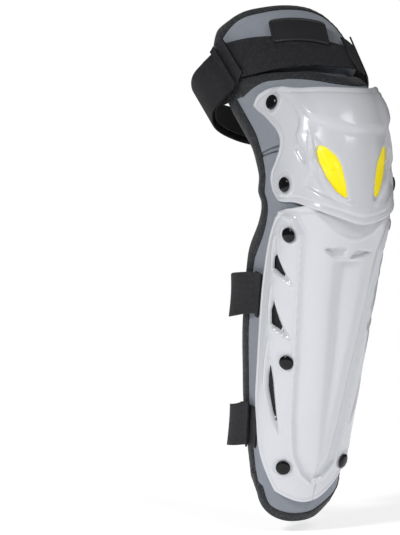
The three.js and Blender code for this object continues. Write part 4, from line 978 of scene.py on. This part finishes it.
top -= GROOVE * cut_in * ramp(-t, 80, 83) * (1 - 0.75 * ramp(-t, 150, 300))
for rows in CHEVRON_HOLLOWS:
    top += sunk(flat, rows, CHEVRON, 1.8)
for hypotenuse, rest_of_edge, _ in sides:
    distance, inside = edge_distance(flat, laid(hypotenuse + rest_of_edge))
    side = np.abs(line_side(flat, laid(hypotenuse)))
    top -= SCOOP * inside * (0.55 + 0.45 * ramp(side, 0, 6)) * ramp(distance, 0, 2.0)
    top += 0.6 * bump(distance, 1.2, 1.2) * ~inside
top += rivet_seats(flat, PLATE_RIVETS) + sunk(flat, WING_PANEL, 0.8, 1.2) - 0.8 * bump(reach_in, 4.2, 1.2)
for line in vent_lines:
    distance, _ = edge_distance(flat, line)
    top = top - rounded_lip(distance, 0.5)
rest = np.clip(rest, None, top - 0.8)
top = top - rounded_lip(reach_in, 1.3)
shin_plate = pierced_sheet("moulded_shin_plate", on_leg(t, u, top), on_leg(t, u, rest), stay)
dress(shin_plate, shell_plastic, "shin_plate")

# Vent shade: a near-black leaf with a mesh-like pattern, laid on the pad behind each of the plate's six vents. It is
# painted shade that makes the openings read dark.
SHADE_SHEET_LEVEL, SHADE_SHEET_THICKNESS, SHADE_SHEET_LAP = 9.35, 0.8, 5.0
vent_shade_sheet = Finish("black_painted_shade_sheet", Specular_IOR_Level=0.3)
cloth = cloth_uv(vent_shade_sheet)
holes = vent_shade_sheet.node("ShaderNodeTexVoronoi", {}, {"Vector": cloth, "Scale": 7.0})
flecks = vent_shade_sheet.noise(300, 2.0)
# The near-black base colour is painted shade for the vent openings.
vent_shade_sheet.set(vent_shade_sheet.shader, {
    "Base Color": vent_shade_sheet.blend(vent_shade_sheet.smooth_step(holes, 0.15, 0.5), (0.002, 0.002, 0.0025, 1), (0.02, 0.02, 0.023, 1)),
    "Roughness": flecks * 0.2 + 0.7, "Normal": vent_shade_sheet.relief(holes, 0.0003, 0.6)})
for number, (_, _, opening) in enumerate(sides, 1):
    line = laid(even_points([list(row) for row in opening], 72))
    middle = line.mean(0)
    out = line - middle
    shares = np.linspace(0.02, 1, 14)[:, None, None]
    leaf = middle + out[None] * (1 + SHADE_SHEET_LAP / np.linalg.norm(out, axis=1)[:, None])[None] * shares
    leaf = np.concatenate([leaf, leaf[:, :1]], 1)
    t, u = leaf[..., 1], np.degrees(leaf[..., 0] / leg_width(leaf[..., 1]))
    piece = closed_sheet(f"vent_shade_sheet_{number}", on_leg(t, u, SHADE_SHEET_LEVEL + SHADE_SHEET_THICKNESS), on_leg(t, u, SHADE_SHEET_LEVEL), leaf)
    piece.modifiers.new("join", "WELD").merge_threshold = 0.00002
    piece.data.materials.append(vent_shade_sheet.material)
    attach(piece, "root")

# Rivets: eleven glossy black snap rivets with domed caps, each pushed through shell and pad into a
# round washer behind the pad.
CAP_RADIUS, CAP_DOME, SHANK_RADIUS, WASHER_RADIUS, WASHER = 7.5, 3.4, 2.5, 5.5, 1.2


black = Finish("black_plastic", Specular_IOR_Level=0.16, Coat_Roughness=0.03)
scuff = black.noise(260, 4.0)
black.set(black.shader, {"Base Color": black.blend(scuff, (0.003, 0.003, 0.0035, 1), (0.009, 0.009, 0.01, 1)),
                         "Roughness": scuff * 0.08 + 0.1, "Coat Weight": scuff * 0.1 + 0.2,
                         "Normal": black.relief(scuff, 0.00003, 0.4)})
seats = [(t, u, cup_rest(t, u) + SHELL) for t, u in CUP_RIVETS] + [(t, u, PLATE_STAND + SHELL) for t, u in PLATE_RIVETS]
for number, (t, u, seat) in enumerate(seats, 1):
    spot, above, below, outer, inner, skin = (on_leg(*place).reshape(3) for place in (
        (t, u, PAD_THICKNESS), (t + 1, u, PAD_THICKNESS), (t - 1, u, PAD_THICKNESS),
        (t, u + 1, PAD_THICKNESS), (t, u - 1, PAD_THICKNESS), (t, u, 0)))
    along, across = above - below, outer - inner
    out = np.cross(across, along)
    out /= np.linalg.norm(out)
    along /= np.linalg.norm(along)
    across = np.cross(along, out)
    rise = float(seat) - PAD_THICKNESS + 0.9
    behind = -(spot - skin) @ out - CLEARANCE - 1.6 * WASHER_RADIUS ** 2 / leg_depth(np.array(float(t)))
    arc = np.linspace(0, math.pi / 2, 12)
    dome = [(CAP_RADIUS * math.cos(a), rise + 0.9 + (CAP_DOME - 0.9) * math.sin(a)) for a in arc]
    profile = np.array([(0.01, behind - WASHER), (WASHER_RADIUS - 0.5, behind - WASHER), (WASHER_RADIUS, behind - WASHER + 0.5),
                        (WASHER_RADIUS, behind), (SHANK_RADIUS, behind), (SHANK_RADIUS, rise), (CAP_RADIUS - 0.5, rise),
                        (CAP_RADIUS - 0.1, rise + 0.3), *dome[:-1], (0.01, rise + CAP_DOME)])
    angle = np.linspace(0, 2 * math.pi, 49)
    ring = np.cos(angle)[:, None] * across + np.sin(angle)[:, None] * along
    points = spot + profile[None, :, :1] * ring[:, None] + profile[None, :, 1:] * out
    rivet = make_mesh(f"snap_rivet_{number:02d}", points, grid_faces(49, len(profile)))
    weld = rivet.modifiers.new("join", "WELD")
    weld.merge_threshold = 0.00003
    rivet.data.set_sharp_from_angle(angle=math.radians(50))
    dress(rivet, black, f"rivet_{number:02d}")

# Straps: three bands of black elastic. Each is sewn to a tab on the inner side of the pad, runs round
# behind the leg and folds round a plastic hook, which clips into a ring held by a ribbed outer tab.
STRAPS = {
    "calf_upper": {"outer": [0.5, 0.65, 0.8], "inner": [0.27, 0.03], "free": [
        [1.05, 1, 0], [1, 1.16, -0.06], [0.72, 1.25, -0.2], [0.35, 1.2, -0.4],
        [-0.1, 1.08, -0.55], [-0.55, 0.98, -0.6], [-0.9, 0.82, -0.5], [-1.02, 0.6, -0.25]]},
    "calf_lower": {"outer": [-0.04, 0.2, 0.42], "inner": [0.24, 0.05], "free": [
        [1.06, 0.56, 0], [1.07, 0.84, -0.05], [0.95, 1.05, -0.15], [0.62, 1.18, -0.3],
        [0.2, 1.16, -0.45], [-0.3, 1.05, -0.55], [-0.75, 0.85, -0.5], [-1, 0.55, -0.25]]},
    "thigh": {"outer": [-0.4, -0.31, -0.2, -0.06, 0.1], "inner": [0.08, -0.14], "free": [
        [0.96, 0.3, 0], [1, 0.5, 0], [0.93, 0.74, 0], [0.55, 0.95, 0.08], [0, 1, 0.14],
        [-0.5, 0.95, 0.16], [-0.86, 0.76, 0.12], [-0.98, 0.5, 0.05], [-0.93, 0.27, 0]]}}
CALF_STATIONS = {"calf_upper": -0.345, "calf_lower": -0.79}
TAB_SHARES = {"calf_upper": 0.42, "calf_lower": 0.3, "thigh": 0.66}
CALF_HALF_WIDTH, CALF_BACK, CALF_STRAP = 60.0, 98.0, 43.0
THIGH_HALF_WIDTH, THIGH_BACK, THIGH_STRAP = 84.0, 84.0, 56.0
RING_WIRE, RING_DEPTH, HOOK_LENGTH, HOOK_THICKNESS, HOOK_BAR, HOOK_SLOT, HOOK_CLAW = 4.0, 24.0, 38.0, 4.0, 4.5, 5.0, 4.0
FOLD_BACK, FOLD_EASE, INNER_BARE, MARGIN, HOOK_REACH, KEEPER = 16.0, 12.0, 14.0, 5.0, 22.8, 8.0

ribbed = Finish("ribbed_webbing", Specular_IOR_Level=0.4)
cloth = cloth_uv(ribbed)
ribs = ribbed.node("ShaderNodeTexWave", {"bands_direction": "Y"}, {"Vector": cloth, "Scale": 2.0, "Distortion": 0.2})
flecks = ribbed.noise(380, 3.0)
tone = ribbed.blend(ribbed.smooth_step(flecks * 0.5 + ribs * 0.5, 0.25, 0.8), (0.007, 0.007, 0.008, 1), (0.05, 0.052, 0.06, 1))
ribbed.set(ribbed.shader, {"Base Color": tone, "Roughness": flecks * 0.2 + 0.5,
                           "Normal": ribbed.relief(ribs * 0.8 + flecks * 0.2, 0.0004, 0.8)})


def strap_line(strap, seats, stations, half_width, back, width):
    """The strap's middle line as (across, forward, place up the leg): on the pad at both ends, free between."""
    def on_pad(depth, seat, station):
        w, d = leg_width(np.array(station)), leg_depth(np.array(station))
        if depth > 0:
            return w + seat + SIDE_FLARE * (depth / SIDE_DEPTH / (math.pi / 2)) ** 1.5
        return (w + seat) * math.sqrt(1 - (depth / (d + seat)) ** 2)
    rows = [(on_pad(share * back, seats[0], stations[0]), -share * back, stations[0]) for share in strap["outer"]]
    for i, (side, share, drop) in enumerate(strap["free"]):
        level = stations[0] + (stations[1] - stations[0]) * ramp(i / len(strap["free"]), 0, 0.7)
        rows.append((side * half_width, -share * back, level + drop * width))
    rows += [(-on_pad(share * back, seats[1], stations[1]), -share * back, stations[1]) for share in strap["inner"]]
    line = smooth_line(rows, 3000)
    length = np.linalg.norm(np.diff(line, axis=0), axis=1).sum()
    return line, length


def path_frame(path, s):
    """Point, way along, way up the leg and way outwards at distances along a strap's middle line."""
    line, length = path
    read = lambda d: [np.interp(np.clip(d, 0, length), np.linspace(0, length, len(line)), line[:, k]) for k in range(3)]
    at = lambda d: (lambda x, forward, t: section_point(t, x, forward))(*read(d))
    x, _, t = read(s)
    way = at(s + 1) - at(s - 1)
    way /= np.linalg.norm(way, axis=-1)[..., None]
    lean = centre_line(t)[2]
    taper = (leg_width(t + 1) - leg_width(t - 1)) / 2 * x / leg_width(t)
    up = np.stack([taper, np.sin(lean), np.cos(lean)], -1)
    out = np.cross(way, up)
    out /= np.linalg.norm(out, axis=-1)[..., None]
    return at(s), way, np.cross(out, way), out


def strip(name, path, stations, width, finish, node, ripple=0.0, lift=0.0):
    """A flat rounded profile carried along stations of (distance, height off the path, distance of the
    straight frame it follows). The frame follows the path itself where the third value is nan."""
    d, h, rigid = np.array(stations, float).T
    turn = np.arctan2(np.gradient(h), np.gradient(d))
    ends = lambda row: np.concatenate([row[:1], row, row[-1:]])
    d, h, rigid, turn = ends(d), ends(h), ends(rigid), ends(turn)
    full = np.ones(len(d))[:, None]
    full[[0, -1]] = 0
    half, thick = width / 2, WEBBING / 2
    edge = [(half - 0.7 + 0.7 * math.cos(a), thick * math.sin(a)) for a in np.radians([0, 30, 60, 90])]
    upper = edge + [(k, thick) for k in np.linspace(half - 2.2, 2.2 - half, 9)] + [(-a, b) for a, b in edge[::-1]]
    loop = np.array(upper + [(a, -b) for a, b in upper[::-1][1:-1]])
    loop = np.vstack([loop, loop[:1]])
    bead = ripple * np.sin(2 * math.pi * d / 1.6)[:, None] * (np.abs(loop[None, :, 1]) > 0.99 * thick)
    level = (loop[None, :, 1] + bead * np.sign(loop[None, :, 1])) * full
    along = d[:, None] - np.sin(turn)[:, None] * level
    above = h[:, None] + np.cos(turn)[:, None] * level
    follow = np.where(np.isnan(rigid)[:, None], along, rigid[:, None])
    point, way, up, out = path_frame(path, follow)
    points = point + way * (along - follow)[..., None] + out * above[..., None] + up * loop[None, :, :1]
    length = np.concatenate([[0], np.cumsum(np.hypot(np.diff(d), np.diff(h)))])
    across = np.append(loop[:-1, 0], loop[0, 0])
    uv = np.stack(np.broadcast_arrays(across[None], length[:, None]), -1)
    made = make_mesh(name, points, grid_faces(*points.shape[:2]), uv)
    made.modifiers.new("join", "WELD").merge_threshold = 0.00002
    made.data.set_sharp_from_angle(angle=math.radians(60))
    dress(made, finish, node)


def run(start, end, height, step=1.5):
    """Stations of a straight length at one height."""
    count = max(int(abs(end - start) / step), 2)
    return [(d, height, math.nan) for d in np.linspace(start, end, count + 1)]


def fold_round(bar_at, height, radius, direction, rigid):
    """Stations of a half turn round a bar, followed by the end that is sewn back."""
    turn = [(bar_at + direction * radius * math.cos(a), height + radius + radius * math.sin(a), rigid)
            for a in np.radians(np.linspace(-80, 80, 17))]
    back = [(bar_at - direction * d, height + 2 * radius, rigid) for d in (0.0, 3.0)]
    end = [(bar_at - direction * d, height + 2 * radius, math.nan) for d in np.linspace(5, FOLD_BACK, 8)]
    return [(bar_at, height, rigid), *turn, *back, *end]


def seat_on_path(path, s, height, forwards, local):
    """Local points (along the strap, up the leg, outwards) set on the strap's middle line."""
    point, way, up, out = (v[0] for v in path_frame(path, np.array([s])))
    x = way * forwards
    return point + out * height + local[..., :1] * x + local[..., 1:2] * np.cross(out, x) + local[..., 2:] * out


def ring_shape(width):
    """A D-shaped ring of round wire: a circle carried round a rounded outline, its straight bar at 0."""
    half = width / 2 + RING_WIRE
    corners = [[0, -half], [0, 0], [0, half], [RING_DEPTH * 0.6, half * 0.85], [RING_DEPTH, half * 0.4],
               [RING_DEPTH, -half * 0.4], [RING_DEPTH * 0.6, -half * 0.85]]
    line = smooth_line(corners * 3, 288)[96:193]
    way = np.gradient(line, axis=0)
    way /= np.linalg.norm(way, axis=1)[:, None]
    way[0] = way[-1] = (way[0] + way[-1]) / 2
    angle = np.linspace(0, 2 * math.pi, 15)
    side = np.stack([way[:, 1], -way[:, 0]], -1)
    across = line[:, None] + side[:, None] * np.cos(angle)[None, :, None] * RING_WIRE / 2
    return np.concatenate([across, np.broadcast_to(np.sin(angle)[None, :, None] * RING_WIRE / 2, (*across.shape[:2], 1))], -1)


def hook_half_width(x, width):
    """Half width of the hook: rounded at its wide end and tapering in a gentle curve to a rounded tip."""
    half = width / 2 + 1
    wide = half - 4 + np.sqrt(np.maximum(16 - np.maximum(4 - x, 0) ** 2, 0))
    taper = read_table([[0, half], [9, half], [20, half * 0.8], [30, half * 0.45], [36, 6.5], [39, 3.2]], 1, x)
    tip = np.sqrt(np.maximum(36 - np.maximum(x - 33, 0) ** 2, 0.04)) / 6
    return np.minimum(wide, taper) * tip


def box_faces(shift):
    return np.array([[0, 1, 3, 2], [4, 6, 7, 5], [0, 4, 5, 1], [2, 3, 7, 6], [0, 2, 6, 4], [1, 5, 7, 3]]) + shift


for name, strap in STRAPS.items():
    if name == "thigh":
        seat = PAD_THICKNESS - 1 + TAPE_WRAP + WEBBING + 2 * CLEARANCE
        line = strap_line(strap, (seat + CLEARANCE / 2, seat + 2 * CLEARANCE), (0.6 * FLAP_REACH, 0.73 * FLAP_REACH),
                          THIGH_HALF_WIDTH, THIGH_BACK, THIGH_STRAP)
        strap_width, tab_length = THIGH_STRAP, THIGH_BACK * TAB_SHARES[name]
    else:
        station = CALF_STATIONS[name] * PLATE_LENGTH - PLATE_TOP
        scale = float(leg_width(np.array(station)) / leg_width(np.array(CALF_STATIONS["calf_upper"] * PLATE_LENGTH - PLATE_TOP)))
        seat = PAD_THICKNESS + 2 * CLEARANCE
        line = strap_line(strap, (seat, seat), (station, station), CALF_HALF_WIDTH * scale, CALF_BACK * scale, CALF_STRAP)
        strap_width, tab_length = CALF_STRAP, CALF_BACK * scale * TAB_SHARES[name]
    width, length = strap_width + 2 * MARGIN, line[1]
    tab_turn = RING_WIRE / 2 + CLEARANCE + WEBBING / 2
    ring_height = WEBBING / 2 + tab_turn
    strip(name + "_ribbed_tab", line, run(0, tab_length, WEBBING / 2, 0.8)[:-1]
          + fold_round(tab_length, WEBBING / 2, tab_turn, 1, tab_length), width - 2 * RING_WIRE, ribbed, name + "_outer_tab", 0.12)
    ring = seat_on_path(line, tab_length, ring_height, 1, ring_shape(width - 2 * RING_WIRE))
    ring = make_mesh(name + "_wire_ring", ring, grid_faces(*ring.shape[:2]))
    ring.modifiers.new("join", "WELD").merge_threshold = 0.00005
    dress(ring, black, name + "_ring")
    hook_base = tab_length + RING_DEPTH + HOOK_REACH
    hook_height = ring_height + (RING_WIRE + HOOK_THICKNESS) / 2 + CLEARANCE
    x, y = np.meshgrid(np.linspace(0, HOOK_LENGTH + 0.9, 80), np.linspace(-1, 1, 61), indexing="ij")
    half_width = hook_half_width(x, width)
    y = y * half_width
    in_slot = (x > HOOK_BAR) & (x < HOOK_BAR + HOOK_SLOT) & (np.abs(y) < half_width - 4.5)
    rim = np.minimum(np.minimum(half_width - np.abs(y), x), HOOK_LENGTH + 0.9 - x)
    slot_gap = np.maximum(np.maximum(HOOK_BAR - x, x - HOOK_BAR - HOOK_SLOT), np.abs(y) - half_width + 4.5)
    slot_gap = np.maximum(slot_gap, 0)
    ridge = 1.5 * np.exp(-np.abs(y) / 3.0) * ramp(x, 10, 16) * (1 - ramp(x, 34, 39))
    high = HOOK_THICKNESS / 2 - rounded_lip(rim, 1.4) - rounded_lip(slot_gap, 0.8) + ridge + 0.5 * bump(rim, 3.2, 1.0) * ramp(x, 10, 13)
    low = -HOOK_THICKNESS / 2 + rounded_lip(rim, 0.8)
    stay = ~(in_slot[:-1, :-1] & in_slot[:-1, 1:] & in_slot[1:, 1:] & in_slot[1:, :-1])
    upper, lower = (seat_on_path(line, hook_base, hook_height, -1, np.stack([x, y, z], -1)) for z in (high, low))
    hook = pierced_sheet(name + "_pick_hook", upper, lower, stay)
    dress(hook, black, name + "_hook")
    corners = np.array([[HOOK_REACH + RING_WIRE / 2 + CLEARANCE + a * HOOK_CLAW, b * width / 6,
                         (c * 1.5 / 2 - 0.9) * HOOK_THICKNESS] for a in (0, 1) for b in (-1, 1) for c in (-1, 1)])
    claw = make_mesh(name + "_hook_claw", seat_on_path(line, hook_base, hook_height, -1, corners), box_faces(0), smooth=False)
    bevel = claw.modifiers.new("rounded", "BEVEL")
    bevel.width, bevel.segments = 0.001, 3
    claw.data.materials.append(black.material)
    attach(claw, "root")
    band_turn = math.hypot(HOOK_BAR, HOOK_THICKNESS) / 2 + CLEARANCE + WEBBING / 2
    over_tab = 1.5 * WEBBING + 2 * CLEARANCE
    bar_at, band_end = hook_base - HOOK_BAR / 2, length - INNER_BARE
    ease = [(d, over_tab + (hook_height - band_turn - over_tab) * float(ramp(d, bar_at + FOLD_EASE, bar_at)), math.nan)
            for d in np.linspace(bar_at + FOLD_EASE, bar_at + 1.5, 8)]
    strip(name + "_elastic_band", line, run(band_end, bar_at + FOLD_EASE, over_tab)[:-1] + ease
          + fold_round(bar_at, hook_height - band_turn, band_turn, -1, hook_base), strap_width, elastic, name + "_band")
    strip(name + "_folded_keeper", line, run(band_end + 1, band_end - KEEPER, over_tab + WEBBING + 0.1, 0.8), strap_width + 4,
          elastic, None)
    if name == "thigh":
        strip("thigh_folded_end", line, run(0.93 * length, 0.5 * length, -WEBBING - 0.6), strap_width - 8, elastic, None, 0, 20)
    strip(name + "_sewn_tab", line, run(length, band_end - FOLD_BACK, WEBBING / 2, 0.8), strap_width - 2, ribbed,
          name + "_inner_tab", 0.1)

low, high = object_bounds()
